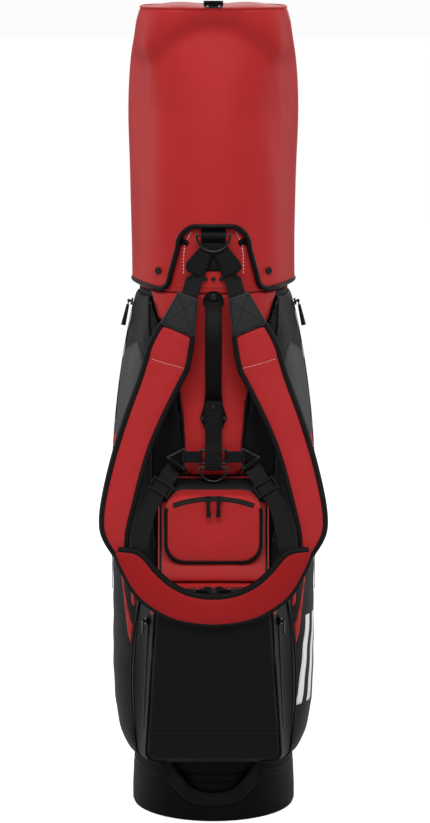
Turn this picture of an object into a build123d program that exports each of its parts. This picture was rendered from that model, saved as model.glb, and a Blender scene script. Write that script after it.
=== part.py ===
from build123d import *
import os
from math import asin, atan2, cos, degrees, radians, sin, sqrt, tan

# A golf stand bag, standing upright. Millimetres, +Z up, origin on the ground at
# the centre of the base. The harness, handle and front pockets face -Y and the
# folding legs are on +Y. X = 0 is the plane of symmetry.

# ---------------------------------------------------------------- driving sizes
BAG_TOP = 946.0  # height of the cuff's rim above the ground
CUFF_HEIGHT = 103.0
CUFF_RX = 118.0
CUFF_RY = 124.0
CUFF_WALL = 5.0
BODY_FOOT_RX = 121.0  # bag tube at the base
BODY_FOOT_RY = 124.0
BODY_HEAD_RX = 117.0  # bag tube under the cuff
BODY_HEAD_RY = 123.0
BODY_WALL = 2.5
BODY_FOOT_Z = 60.0
BASE_R = 131.0
BASE_TOP_R = 128.6
BASE_HEIGHT = 125.0
BASE_WALL = 4.0
BASE_FLOOR = 5.0
FIT = 0.3  # clearance between parts that touch
WIRE_R = 2.0  # rings and buckles are bent from 4 mm wire
RUN_FIT = 0.06  # radial clearance of a pin or ring in its eye
WEB_WIDTH = 26.0
WEB_THICK = 2.0

CUFF_FOOT = BAG_TOP - CUFF_HEIGHT
BODY_HEAD_Z = CUFF_FOOT - FIT

# stand mechanism
LEG_SWING = 35.0  # degrees each leg turns out
LEG_SPLAY = 25.0  # degrees its pin is turned from X, which spreads the feet
LEG_X = 66.0
LEG_Y = BASE_R - 3.0  # keeps the rubber feet clear of the base
LEG_PIVOT_Z = 800.0
LEG_FOOT_Z = 66.0
LEG_TUBE_R = 7.0
LEG_PIN_R = 3.0
CRANK = 22.0  # crank length on each leg, from its pin to the rod's end
CRANK_OFFSET = 20.0
KICK_TILT = 20.0
KICK_HINGE_Y = 44.5
KICK_HINGE_Z = 6.0
KICK_THICK = 5.0
KICK_BAR_Y = 81.0  # where the rod's cross bar lies on the kick plate
ROD_R = 2.5
ROD_X = 45.0
ROD_Y = BASE_R + 5.0  # the rods run up just behind the base

# rings and harness
CUFF_RING_Z = 934.5
CUFF_RING_Y = -134.3
CUFF_RING_HALF = 26.0
SPINE_RING_HALF = 20.5
SPINE_RING_LOW = 580.0
SPINE_RING_HIGH = 601.0
SPINE_D_Z = 573.5
SPINE_D_HALF = 21.0
PAD_THICK = 12.0
BAND_THICK = 12.0

# pockets
BALL_TOP = 403.0
BALL_FRONT_Y = -211.0
MID_FOOT = BALL_TOP + FIT
MID_HALF = 86.0
VAL_FRONT_Y = -194.0
VAL_HALF = 73.5
VAL_ZIP_R = 179.0  # radius of the arched zip on the valuables pocket
VAL_ZIP_TOP = 535.0
SIDE_BOW_R = 1415.0  # each side pocket's upper half bows in on this radius
SIDE_BOW_Z = 500.0  # height of the bow's centre, where the pocket is widest
SIDE_REACH = 161.5  # from the bag's middle to the pocket at its zip
SIDE_ZIP_Y = -10.0
ZIP_TAPE = 7.0
TAPE_PROUD = 1.2

# hood
HOOD_HEM = 850.0
HOOD_TOP = 1279.0
HOOD_WALL = 3.0
HOOD_SECTIONS = [  # height, half width, half depth
    (HOOD_HEM, 129.5, 131.0),
    (980.0, 130.5, 133.0),
    (1100.0, 134.0, 134.0),
    (1180.0, 131.5, 129.0),
    (1240.0, 122.0, 116.0),
    (HOOD_TOP, 114.0, 104.0),
]
CUTOUT_FOOT_HALF = 72.0
CUTOUT_HEAD_HALF = 57.0
CUTOUT_TOP = 948.0
BINDING = 8.0


# ---------------------------------------------------------------- helpers
FROM_FOOT = (Align.CENTER, Align.CENTER, Align.MIN)


def both_sides(shape):
    return [shape, shape.mirror(Plane.YZ)]


def save(name, *shapes):
    """Writes one node; several shapes stay separate solids."""
    solids = [solid for shape in shapes for solid in shape.solids()]
    export_step(solids[0] if len(solids) == 1 else Compound(children=solids), f"parts/{name}.step")


def ellipse_at(z, rx, ry, cx=0.0):
    return Pos(cx, 0, z) * Ellipse(rx, ry)


def elliptic_loft(sections, grow=0.0, cx=0.0, ruled=False):
    return loft([ellipse_at(z, rx + grow, ry + grow, cx) for z, rx, ry in sections], ruled=ruled)


def front_face(points, corner=0.0):
    """A closed outline in X and Z, rounded at its corners, facing -Y."""
    face = Plane.XZ * make_face(Polyline(*points, close=True))
    return fillet(face.vertices(), corner) if corner else face


def front_prism(face, near, far):
    """Extrudes an X-Z face from y = -near to y = -far."""
    return Pos(0, -near, 0) * extrude(face, far - near)


def side_slab(front, thick, half):
    """A slab across X whose front follows (y, z) points; its back is thick behind it."""
    back = [(y + thick, z) for y, z in reversed(front)]
    face = Plane.YZ * make_face(Polyline(*front, *back, close=True))
    return extrude(face, half, both=True)


def plan_slab(front, thick, low, high):
    """A slab from z = low to high whose front follows (x, y) points, mirrored in X."""
    right = [*front]
    left = [(-x, y) for x, y in reversed(front) if x > 0]
    outline = left + right
    back = [(x, y + thick) for x, y in reversed(outline)]
    face = make_face(Polyline(*outline, *back, close=True))
    return Pos(0, 0, low) * extrude(face, high - low)


def bar(start, end, radius):
    start, end = Vector(*start), Vector(*end)
    return Plane(start, z_dir=end - start) * Cylinder(
        radius, (end - start).length, align=FROM_FOOT
    )


def bent_wire(points, radius, close=False):
    """Straight runs of round wire with ball corners, as one solid."""
    ends = list(zip(points, points[1:]))
    if close:
        ends.append((points[-1], points[0]))
    wire = bar(*ends[0], radius)
    for start, end in ends[1:]:
        wire += Pos(*start) * Sphere(radius)
        wire += bar(start, end, radius)
    if close:
        wire += Pos(*points[0]) * Sphere(radius)
    return wire


def d_ring(half, drop, radius):
    """A D ring in X and Z: its straight bar is on the X axis and it hangs down."""
    arc = ThreePointArc((half, 0, 0), (0, 0, -drop), (-half, 0, 0))
    loop = sweep(Plane(arc @ 0, z_dir=arc % 0) * Circle(radius), path=arc)
    return loop + bent_wire([(-half, 0, 0), (half, 0, 0)], radius) + [
        Pos(side * half, 0, 0) * Sphere(radius) for side in (-1, 1)
    ]


# ---------------------------------------------------------------- bag tube and cuff
def body_rx(z):
    return BODY_HEAD_RX + (BODY_FOOT_RX - BODY_HEAD_RX) * (BODY_HEAD_Z - z) / (BODY_HEAD_Z - BODY_FOOT_Z)


def body_ry(z):
    return BODY_HEAD_RY + (BODY_FOOT_RY - BODY_HEAD_RY) * (BODY_HEAD_Z - z) / (BODY_HEAD_Z - BODY_FOOT_Z)


def body_solid(grow=0.0, low=BODY_FOOT_Z, high=BODY_HEAD_Z):
    return elliptic_loft([(z, body_rx(z), body_ry(z)) for z in (low, high)], grow, ruled=True)


def body_shell():
    return body_solid() - body_solid(-BODY_WALL, BODY_FOOT_Z - 1, BODY_HEAD_Z + 1)


def cuff_tube(z, height, inset):
    return Pos(0, 0, z) * extrude(Ellipse(CUFF_RX - inset, CUFF_RY - inset), height)


def top_cuff():
    cuff = cuff_tube(CUFF_FOOT, CUFF_HEIGHT, 0) - cuff_tube(CUFF_FOOT - 1, CUFF_HEIGHT + 2, CUFF_WALL)
    return fillet(cuff.faces().sort_by(Axis.Z)[-1].edges(), 1.6)


WELL_BAR = 8.0
WELL_ROW = 38.0
WELL_DEPTH = 36.0


def divider_grid():
    """Two long bars and three short ones make six wells inside the cuff's rim."""
    top = BAG_TOP - 2.0
    room = cuff_tube(top - WELL_DEPTH, WELL_DEPTH, CUFF_WALL + FIT)
    height = top - WELL_DEPTH / 2
    long_bar = Box(2 * CUFF_RX, WELL_BAR, WELL_DEPTH)
    bars = Pos(0, WELL_ROW, height) * long_bar + Pos(0, -WELL_ROW, height) * long_bar
    bars += Pos(0, 0, height) * Box(WELL_BAR, 2 * CUFF_RY, WELL_DEPTH)
    return bars & room


def well_dividers():
    """Thin fabric walls that carry the six wells down to the base."""
    thick = 1.6
    high = BAG_TOP - 2.0 - WELL_DEPTH - FIT
    low = BODY_FOOT_Z + 2.0
    middle, tall = (low + high) / 2, high - low
    room = elliptic_loft(
        [(z, BODY_HEAD_RX - CUFF_WALL - FIT, BODY_HEAD_RY - CUFF_WALL - FIT) for z in (low, high)], ruled=True
    )
    walls = [Pos(0, side * WELL_ROW, middle) * Box(2 * CUFF_RX, thick, tall) & room for side in (-1, 1)]
    between = WELL_ROW - thick / 2 - FIT
    walls.append(Pos(0, 0, middle) * Box(thick, 2 * between, tall))
    outer = CUFF_RY
    for side in (-1, 1):
        span = outer - WELL_ROW - thick / 2 - FIT
        slab = Pos(0, side * (outer - span / 2), middle) * Box(thick, span, tall)
        stay_gap = Pos(0, -STAY_Y, middle) * Cylinder(STAY_R + FIT, tall + 2)
        walls.append(slab & room - stay_gap)
    return walls


STAY_R = 4.0
STAY_X = CUFF_RX - CUFF_WALL - STAY_R - FIT
STAY_Y = CUFF_RY - CUFF_WALL - STAY_R - FIT


def frame_stays():
    """Three rods hold the cuff up from the base's floor."""
    low, high = BASE_FLOOR + FIT, CUFF_FOOT + 30.0
    return [bar((x, y, low), (x, y, high), STAY_R) for x, y in ((-STAY_X, 0), (STAY_X, 0), (0, -STAY_Y))]


# ---------------------------------------------------------------- base and kick plate
CUT_Y = KICK_HINGE_Y - 6.5  # the base is cut away behind this line for the kick plate
CUT_Z = 16.0


def kick_room(lift=0.0, back=0.0):
    """What is cut from under the back of the base so that the kick plate can tilt."""
    far = BASE_R + 20
    rise = (far - CUT_Y) * tan(radians(KICK_TILT))
    points = [(CUT_Y - back, -50), (CUT_Y - back, CUT_Z + lift), (far, CUT_Z + lift + rise), (far, -50)]
    return extrude(Plane.YZ * make_face(Polyline(*points, close=True)), 2 * BASE_R, both=True)


LUG_X = 106.0
LUG_WIDTH = 12.0


def base_boot():
    profile = [(0, 0), (BASE_R - 2, 0), (BASE_R, 5), (BASE_R, 26), (BASE_R - 1.5, 60)]
    profile += [(BASE_R - 1.5, 64), (BASE_R - 2.4, 66), (BASE_TOP_R, 68), (BASE_TOP_R, 76)]
    profile += [(BASE_TOP_R - 1.2, 77), (BASE_TOP_R - 1.2, 79), (BASE_TOP_R, 80)]
    profile += [(BASE_TOP_R, BASE_HEIGHT), (0, BASE_HEIGHT)]
    outer = revolve(Plane.XZ * make_face(Polyline(*profile, close=True)), Axis.Z)
    outer -= kick_room()
    groove = Pos(BASE_TOP_R, 0, (80 + BASE_HEIGHT) / 2 + 1) * Box(1.6, 1.6, BASE_HEIGHT - 80)
    for turn in (-78, -102, -60, -120, -35, -145, 0, 180):
        outer -= Rot(0, 0, turn) * groove
    inner_r = BASE_TOP_R - BASE_WALL
    inside = Pos(0, 0, BASE_FLOOR) * Cylinder(inner_r, BASE_HEIGHT, align=FROM_FOOT)
    inside -= kick_room(BASE_FLOOR, BASE_WALL)
    boot = outer - inside
    pin_hole = Pos(0, KICK_HINGE_Y, KICK_HINGE_Z) * Rot(0, 90, 0) * Cylinder(2.02, 3 * BASE_R)
    for side in (-1, 1):
        boot += Pos(side * LUG_X, KICK_HINGE_Y - 0.5, 9.5) * Box(LUG_WIDTH, 13, 16)
    return boot - pin_hole


def base_envelope(grow):
    return Cylinder(BASE_R + grow, BASE_HEIGHT + grow, align=FROM_FOOT)


def kick_plate():
    radius = BASE_R - 4
    barrel_half = LUG_X - LUG_WIDTH / 2 - 1
    plate = Cylinder(radius, KICK_THICK, align=FROM_FOOT)
    plate &= Pos(0, KICK_HINGE_Y + 3.5 + BASE_R, 0) * Box(3 * BASE_R, 2 * BASE_R, 30)
    for side in (-1, 1):
        plate -= Pos(side * (barrel_half + BASE_R / 2 - 0.5), KICK_HINGE_Y, 0) * Box(BASE_R, 24, 30)
        plate -= Pos(side * ROD_X, KICK_BAR_Y + 4 + BASE_R / 2, 0) * Box(10, BASE_R, 30)
    barrel = bar((-barrel_half, KICK_HINGE_Y, KICK_HINGE_Z), (barrel_half, KICK_HINGE_Y, KICK_HINGE_Z), 5)
    plate += barrel
    bore = bar((-BASE_R, KICK_HINGE_Y, KICK_HINGE_Z), (BASE_R, KICK_HINGE_Y, KICK_HINGE_Z), 2 + RUN_FIT)
    return plate - bore


def kick_pin():
    half = LUG_X + LUG_WIDTH / 2
    return bar((-half, KICK_HINGE_Y, KICK_HINGE_Z), (half, KICK_HINGE_Y, KICK_HINGE_Z), 2)


# ---------------------------------------------------------------- legs
def leg_place(side):
    """Local X is the leg's pin, +Y is the way it swings and -Z is down the leg."""
    return Pos(side * LEG_X, LEG_Y, LEG_PIVOT_Z) * Rot(0, 0, -side * LEG_SPLAY)


def crank_tip():
    droop = radians(LEG_SWING / 2)
    return CRANK * cos(droop), -CRANK * sin(droop)


def leg_knuckle(side):
    tip_y, tip_z = crank_tip()
    inward = -side
    hub = Rot(0, 90, 0) * Cylinder(9, 15) + Pos(0, 0, -9) * Box(15, 14, 10)
    socket = Pos(0, 0, -48) * Cylinder(9.5, 36, align=FROM_FOOT)
    web = Pos(0, tip_y / 2, tip_z / 2) * Rot(degrees(atan2(tip_z, tip_y)), 0, 0) * Box(10, CRANK, 7)
    stub = bar((0, tip_y, tip_z), (inward * (CRANK_OFFSET + 4), tip_y, tip_z), 3)
    knuckle = hub + socket + web + stub + Pos(0, tip_y, tip_z) * Rot(0, 90, 0) * Cylinder(4.5, 10)
    knuckle -= Rot(0, 90, 0) * Cylinder(LEG_PIN_R + RUN_FIT, 40)
    knuckle -= Pos(0, 0, -49) * Cylinder(LEG_TUBE_R + 0.05, 34, align=FROM_FOOT)
    return leg_place(side) * knuckle


def leg_tube(side):
    foot = LEG_FOOT_Z + 14
    tube = bar((0, 0, foot - LEG_PIVOT_Z), (0, 0, -15.3), LEG_TUBE_R)
    tube -= bar((0, 0, foot - LEG_PIVOT_Z - 1), (0, 0, -15), LEG_TUBE_R - 1.2)
    return leg_place(side) * tube


def leg_foot(side):
    length = 46.0
    foot = Pos(0, 0, LEG_FOOT_Z - LEG_PIVOT_Z) * Cone(8.5, 10, length, align=FROM_FOOT)
    foot = fillet(foot.edges(), 1.5)
    foot -= bar((0, 0, LEG_FOOT_Z + 14 - FIT - LEG_PIVOT_Z), (0, 0, 0), LEG_TUBE_R + 0.05)
    return leg_place(side) * foot


def leg_pin(side):
    return leg_place(side) * Rot(0, 90, 0) * Cylinder(LEG_PIN_R, 30)


BRACKET_TALL = 52.0
BRIDGE_WIDTH = 76.0  # the bridge stands between the two clevises


def leg_bracket():
    """A moulded block against the tube, with two clevises for the legs."""
    near, far = 76.0, LEG_Y - 10.0
    block = Pos(0, (near + far) / 2, LEG_PIVOT_Z) * Box(2 * LEG_X + 44, far - near, BRACKET_TALL)
    block = fillet(block.edges().filter_by(Axis.Y), 10)
    bridge_near, bridge_far = 90.0, LEG_Y + 1.0
    middle = (bridge_near + bridge_far) / 2
    block += Pos(0, middle, LEG_PIVOT_Z) * Box(BRIDGE_WIDTH, bridge_far - bridge_near, BRACKET_TALL)
    for side in (-1, 1):
        for end in (-1, 1):
            ear = Pos(0, -11, 0) * Box(5.5, 22, 16) + Rot(0, 90, 0) * Cylinder(8, 5.5)
            block += leg_place(side) * Pos(end * 11, 0, 0) * ear
    for side in (-1, 1):
        block -= leg_place(side) * Rot(0, 90, 0) * Cylinder(LEG_PIN_R + 0.02, 60)
        room = Rot(0, 90, 0) * Cylinder(10.5, 16) + Pos(0, 0, -36) * Box(22, 22, 50)
        block -= leg_place(side) * room
    return block - body_solid(FIT)


def rod_top():
    """Where each rod ends, just under its crank's stub, for the leg on +X."""
    tip_y, tip_z = crank_tip()
    splay = radians(-LEG_SPLAY)
    local_x = -(CRANK_OFFSET + 0.5)
    x = LEG_X + local_x * cos(splay) - tip_y * sin(splay)
    y = LEG_Y + local_x * sin(splay) + tip_y * cos(splay)
    return x, y, LEG_PIVOT_Z + tip_z - 3 - 1.5


def actuator_rod():
    """A bent wire fork: its cross bar lies on the kick plate and its ends push the cranks."""
    x, y, z = rod_top()
    low = KICK_THICK + 0.5 + ROD_R
    side = [(ROD_X, KICK_BAR_Y, low), (ROD_X, ROD_Y, low), (ROD_X, ROD_Y, z - 70), (x, y, z - 35), (x, y, z)]
    other = [(-px, py, pz) for px, py, pz in reversed(side)]
    return bent_wire(other + side, ROD_R)


GUIDE_HEIGHTS = (240.0, 640.0)


def rod_guides():
    """Clips on the back of the tube that the rods slide in."""
    guides = []
    near, far = 107.0, ROD_Y + 5.0
    for z in GUIDE_HEIGHTS:
        for side in (-1, 1):
            block = Pos(side * ROD_X, (near + far) / 2, z) * Box(16, far - near, 14) - body_solid(FIT)
            block -= bar((side * ROD_X, ROD_Y, z - 20), (side * ROD_X, ROD_Y, z + 20), ROD_R + RUN_FIT)
            guides.append(block)
    return guides


# ---------------------------------------------------------------- front panel and pockets
SPINE_EDGE = [(47, 560), (46, 612), (54, 687), (70, 745), (84, 793), (99, 842.5)]


def spine_outline(grow=0.0, low=SPINE_EDGE[0][1]):
    right = [(SPINE_EDGE[0][0] + grow, low)] + [(x + grow, z) for x, z in SPINE_EDGE]
    right = [p for i, p in enumerate(right) if i == 0 or p != right[i - 1]]
    left = [(-x, z) for x, z in reversed(right)]
    return front_face(right + left)


def spine_panel():
    layer = body_solid(3.4) - body_solid(FIT)
    return layer & front_prism(spine_outline(), 0, 200)


MID_PROFILE = [  # y and z, from the top down the pocket's bulging front
    (-60, 556), (-127, 556), (-140, 546), (-150, 530), (-160, 500), (-175, 450), (-195, 412), (-198, 404)
]


def mid_block(grow=0.0):
    profile = MID_PROFILE[:-1] + [(MID_PROFILE[-1][0], MID_FOOT - grow), (-60, MID_FOOT - grow)]
    face = Plane.YZ * make_face(Polyline(*profile, close=True))
    if grow:
        face = offset(face, grow)
    block = extrude(face, MID_HALF + grow, both=True)
    return block


def mid_pocket():
    block = mid_block()
    room = front_face(
        [(-MID_HALF, MID_FOOT - 60), (MID_HALF, MID_FOOT - 60), (MID_HALF, 556), (-MID_HALF, 556)], 40
    )
    block &= front_prism(room, 0, 300)
    block -= body_solid(3.4 + FIT)
    return block - valuables_block(FIT)


def valuables_block(grow=0.0):
    outline = [(-VAL_HALF, 435), (VAL_HALF, 435), (VAL_HALF, 540), (-VAL_HALF, 540)]
    face = front_face(outline, 28)
    if grow:
        face = offset(face, grow)
    return front_prism(face, 138 - grow, -VAL_FRONT_Y + grow)


def zip_band(centre_z, radius, width, half_angle, near, far):
    """An arched strip standing in X and Z about a centre on the Z axis."""
    ring = Circle(radius + width / 2) - Circle(radius - width / 2)
    wedge = make_face(
        Polyline((0, 0), (-2 * radius * sin(half_angle), 2 * radius * cos(half_angle)),
                 (2 * radius * sin(half_angle), 2 * radius * cos(half_angle)), close=True)
    )
    face = Plane.XZ * (ring & wedge)
    return front_prism(Pos(0, 0, centre_z) * face, near, far)


VAL_ZIP_CENTRE = VAL_ZIP_TOP - VAL_ZIP_R
VAL_ZIP_SPAN = asin(62.0 / VAL_ZIP_R)


def valuables_zip(grow=0.0):
    near = -VAL_FRONT_Y - 1.5 - grow
    return zip_band(VAL_ZIP_CENTRE, VAL_ZIP_R, ZIP_TAPE + 2 * grow, VAL_ZIP_SPAN + grow / VAL_ZIP_R,
                    near, -VAL_FRONT_Y + 0.6 + grow)


def valuables_pocket():
    block = valuables_block()
    front = block.faces().sort_by(Axis.Y)[0]
    block = fillet(front.edges(), 5)
    return block - valuables_zip(0.2)


BALL_SECTIONS = [  # y, half width at the foot, half width at the head, foot height, head height
    (-50.0, 127.0, 122.0, 104.0, BALL_TOP),
    (-150.0, 116.0, 106.0, 108.0, BALL_TOP),
    (-200.0, 106.0, 90.0, 118.0, BALL_TOP - 1),
    (BALL_FRONT_Y, 98.0, 82.0, 132.0, BALL_TOP - 14),
]


def ball_block(grow=0.0):
    faces = []
    for y, foot, head, low, high in BALL_SECTIONS:
        outline = [(-foot - grow, low - grow), (foot + grow, low - grow), (head + grow, high + grow),
                   (-head - grow, high + grow)]
        faces.append(Pos(0, y - (grow if y == BALL_FRONT_Y else 0), 0) * front_face(outline, 16))
    return loft(faces, ruled=True)


BALL_ZIP_Z = BALL_TOP - 8.0
BALL_ZIP_Y = -203.5  # the tape lies in a recess across the pocket's top edge
BALL_ZIP_LENGTH = 150.0
SLIDER_ROOM = 11.0


def ball_zip():
    return Pos(0, BALL_ZIP_Y - TAPE_PROUD / 2, BALL_ZIP_Z) * Box(BALL_ZIP_LENGTH, TAPE_PROUD, ZIP_TAPE)


def ball_zip_recess():
    deep = BALL_ZIP_Y + FIT
    return Pos(0, deep - 10, BALL_ZIP_Z) * Box(BALL_ZIP_LENGTH + 12, 20, SLIDER_ROOM)


GUSSET_Y = -175.0
GUSSET_LOW = 165.0
GUSSET_HIGH = 350.0


def gusset_half(z):
    """The ball pocket's half width at its gusset's middle line."""
    (y0, foot0, head0, low0, high0), (y1, foot1, head1, low1, high1) = BALL_SECTIONS[1:3]
    near = foot0 + (head0 - foot0) * (z - low0) / (high0 - low0)
    far = foot1 + (head1 - foot1) * (z - low1) / (high1 - low1)
    return near + (far - near) * (GUSSET_Y - y0) / (y1 - y0)


def gusset_frame(side, z, proud):
    """At a height on the gusset: X runs up the zip and Z points out of the pocket."""
    up = Vector(side * (gusset_half(GUSSET_HIGH) - gusset_half(GUSSET_LOW)), 0, GUSSET_HIGH - GUSSET_LOW)
    (y0, _, head0, *_), (y1, _, head1, *_) = BALL_SECTIONS[1:3]
    forward = Vector(side * (head1 - head0), y1 - y0, 0)
    out = (up.cross(forward) * side).normalized()
    spot = Vector(side * gusset_half(z), GUSSET_Y, z) + out * proud
    return Plane(spot, x_dir=up, z_dir=out)


def gusset_zip(side):
    """The straight zip down the ball pocket's side, as a strip lying on its gusset."""
    middle = (GUSSET_LOW + GUSSET_HIGH) / 2
    tape = Box(GUSSET_HIGH - GUSSET_LOW, ZIP_TAPE, TAPE_PROUD)
    return gusset_frame(side, middle, FIT + TAPE_PROUD / 2) * tape


def ball_pocket():
    block = ball_block()
    block -= body_solid(3.4 + FIT)
    block -= base_envelope(0.5)
    return block - ball_zip_recess()


SIDE_CENTRE = 30.0  # the pocket's section is an ellipse about x = SIDE_CENTRE
SIDE_DEPTH = 118.0
SIDE_HEAD = 836.0
SIDE_LOWER = [(330, 161.5), (190, 160.5), (140, 155), (104, 144), (88, 134)]  # height, reach in X
SIDE_ZIP_HEAD = 824.0
SIDE_ZIP_FOOT = 350.0


def side_bow(z, proud=0.0):
    """Distance from the bag's middle to the side pocket's zip line, above the bow's centre."""
    return SIDE_REACH - SIDE_BOW_R + sqrt((SIDE_BOW_R + proud) ** 2 - (z - SIDE_BOW_Z) ** 2)


def side_block(grow=0.0):
    slim = sqrt(1 - (SIDE_ZIP_Y / SIDE_DEPTH) ** 2)
    heights = (SIDE_HEAD, 800, 740, 680, 620, 560, SIDE_BOW_Z)
    sections = [(z, (side_bow(z) - SIDE_CENTRE) / slim, SIDE_DEPTH) for z in heights]
    sections += [(z, reach - SIDE_CENTRE, SIDE_DEPTH) for z, reach in SIDE_LOWER]
    return elliptic_loft(sections, grow, SIDE_CENTRE)


def side_zip_tape():
    """The long zip down the side pocket: straight at first, then along the bow."""
    centre = (SIDE_REACH - SIDE_BOW_R, SIDE_BOW_Z)
    turn = asin((SIDE_ZIP_HEAD - SIDE_BOW_Z) / SIDE_BOW_R)

    def on_bow(proud, angle):
        radius = SIDE_BOW_R + proud
        return centre[0] + radius * cos(angle), centre[1] + radius * sin(angle)

    inner = TAPE_PROUD - 0.7
    front = ThreePointArc(on_bow(TAPE_PROUD, turn), on_bow(TAPE_PROUD, turn / 2), on_bow(TAPE_PROUD, 0))
    back = ThreePointArc(on_bow(inner, 0), on_bow(inner, turn / 2), on_bow(inner, turn))
    outer_foot, inner_foot = SIDE_REACH + TAPE_PROUD, SIDE_REACH + inner
    foot = Polyline(front @ 1, (outer_foot, SIDE_ZIP_FOOT), (inner_foot, SIDE_ZIP_FOOT), back @ 0)
    outline = Plane.XZ * make_face([front, foot, back, Line(back @ 1, front @ 0)])
    return Pos(0, SIDE_ZIP_Y, 0) * extrude(outline, ZIP_TAPE / 2, both=True)


def side_pocket():
    """The right-hand side pocket: a crescent round the tube, clear of the spine and the legs."""
    block = side_block()
    block -= body_solid(FIT)
    block -= Pos(0, 140, 500) * Box(176, 200, 1000)
    block -= Pos(-100, 0, 500) * Box(200, 400, 1000)
    block -= front_prism(spine_outline(1.5, 300), 0, 300)
    block -= mid_block(1.0)
    block -= ball_block(1.0)
    block -= base_envelope(0.5)
    return block.solids().sort_by(SortBy.VOLUME)[-1]


# ---------------------------------------------------------------- handle and spine hardware
HANDLE_HALF = 13.0
MOUNT_Y = -(BODY_HEAD_RY + 3.4 + FIT)
HANDLE_Y = MOUNT_Y - 6.5


def carry_handle():
    outer = ThreePointArc((HANDLE_Y, 832), (HANDLE_Y - 30, 755), (HANDLE_Y, 679))
    inner = ThreePointArc((HANDLE_Y, 692), (HANDLE_Y - 23, 755), (HANDLE_Y, 820))
    outline = Plane.YZ * make_face([outer, Line(outer @ 1, inner @ 0), inner, Line(inner @ 1, outer @ 0)])
    handle = extrude(outline, HANDLE_HALF, both=True)
    return fillet(handle.edges().filter_by(Axis.X, reverse=True), 2.0)


def behind_spine():
    return body_solid(3.4 + FIT, 500, BODY_HEAD_Z + 60)


def handle_top_boss():
    boss = Pos(0, HANDLE_Y + FIT, 832) * Rot(90, 0, 0) * Cylinder(
        16, 16, align=(Align.CENTER, Align.CENTER, Align.MAX))
    boss -= behind_spine()
    return fillet(boss.faces().sort_by(Axis.Y)[0].edges(), 1.5)


def handle_bracket():
    outline = [(-21, 650), (-13, 632), (13, 632), (21, 650), (15, 668), (13, 690), (-13, 690), (-15, 668)]
    ears = front_face(outline, 2)
    plate = front_prism(ears, 110, -HANDLE_Y - FIT)
    return plate - behind_spine()


def screws():
    """Two handle screws, two bracket rivets and the three cuff rivets."""
    def head(x, y, z, radius, height):
        disc = Pos(x, y, z) * Rot(90, 0, 0) * Cylinder(radius, height, align=FROM_FOOT)
        return fillet(disc.faces().sort_by(Axis.Y)[0].edges(), height * 0.45)

    heads = [head(0, HANDLE_Y, 839.5, 5, 3.2), head(0, SPINE_STRAP_Y - FIT, 668, 3.4, 2.4)]
    heads += [head(x, HANDLE_Y, 650, 3.0, 2.0) for x in (-17, 17)]
    heads += [head(x, -CUFF_RY - 0.2, 866, 3.4, 2.6) for x in (-12, 0, 12)]
    for x in (-SNAP_X, SNAP_X):
        for back in (-1, 1):
            stud = Pos(0, -0.4, 0) * Rot(90, 0, 0) * Cylinder(5, 2.6, align=FROM_FOOT)
            heads.append(snap_place(x, back, SNAP_Z, CUFF_RX, CUFF_RY) * stud)
    return heads


SPINE_STRAP_Y = HANDLE_Y - 3.0
SPINE_RING_Y = SPINE_STRAP_Y - WIRE_R - 0.1 - WEB_THICK + 0.3


def spine_strap():
    """A stiff strap down from the bracket that ends in a flat loop round the spine ring."""
    plate = Pos(0, HANDLE_Y - 1.5 - FIT / 2, 640) * Box(WEB_WIDTH, 3 - FIT, 76)
    low, high = SPINE_D_Z - WIRE_R - 0.5 - WEB_THICK, SPINE_RING_HIGH + WIRE_R + 1.0 + WEB_THICK
    inner_half = WIRE_R + 0.1
    middle, tall = (low + high) / 2, high - low
    loop = Pos(0, SPINE_RING_Y, middle) * Box(WEB_WIDTH, 2 * inner_half + 2 * WEB_THICK, tall)
    loop = fillet(loop.edges().filter_by(Axis.X), 3)
    loop -= Pos(0, SPINE_RING_Y, middle) * Box(WEB_WIDTH + 2, 2 * inner_half, tall - 2 * WEB_THICK)
    return plate + loop


def spine_ring():
    corners = [(-SPINE_RING_HALF, SPINE_RING_LOW), (SPINE_RING_HALF, SPINE_RING_LOW),
               (SPINE_RING_HALF, SPINE_RING_HIGH), (-SPINE_RING_HALF, SPINE_RING_HIGH)]
    return bent_wire([(x, SPINE_RING_Y, z) for x, z in corners], WIRE_R, close=True)


def triangle_ring(side):
    corners = [(45, 603), (70, 590), (46, 571)]
    return bent_wire([(side * x, SPINE_RING_Y, z) for x, z in corners], WIRE_R, close=True)


def spine_d_ring():
    return Pos(0, SPINE_RING_Y, SPINE_D_Z) * d_ring(SPINE_D_HALF, SPINE_D_HALF + 1, WIRE_R)


def cuff_d_ring():
    return Pos(0, CUFF_RING_Y, CUFF_RING_Z) * d_ring(CUFF_RING_HALF, CUFF_RING_HALF - 1, WIRE_R)


def ring_loop():
    """The roll of webbing that holds the cuff's D ring, and its tab on the cuff."""
    half = 19.0
    roll = bar((-half, CUFF_RING_Y, CUFF_RING_Z), (half, CUFF_RING_Y, CUFF_RING_Z), WIRE_R + RUN_FIT + 3.4)
    tab = Pos(0, -(CUFF_RY + 1.4), CUFF_RING_Z) * Box(2 * half, 2.2, 20) + Pos(
        0, (CUFF_RING_Y - CUFF_RY) / 2, CUFF_RING_Z - 3.9) * Box(2 * half, -CUFF_RING_Y - CUFF_RY - 1, 3)
    loop = roll + tab
    loop -= bar((-60, CUFF_RING_Y, CUFF_RING_Z), (60, CUFF_RING_Y, CUFF_RING_Z), WIRE_R + RUN_FIT)
    return loop - cuff_tube(CUFF_FOOT, CUFF_HEIGHT + 1, -FIT)


# ---------------------------------------------------------------- harness
YOKE_Y = -(CUFF_RY + 4.2)
YOKE_THICK = 3.0


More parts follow.
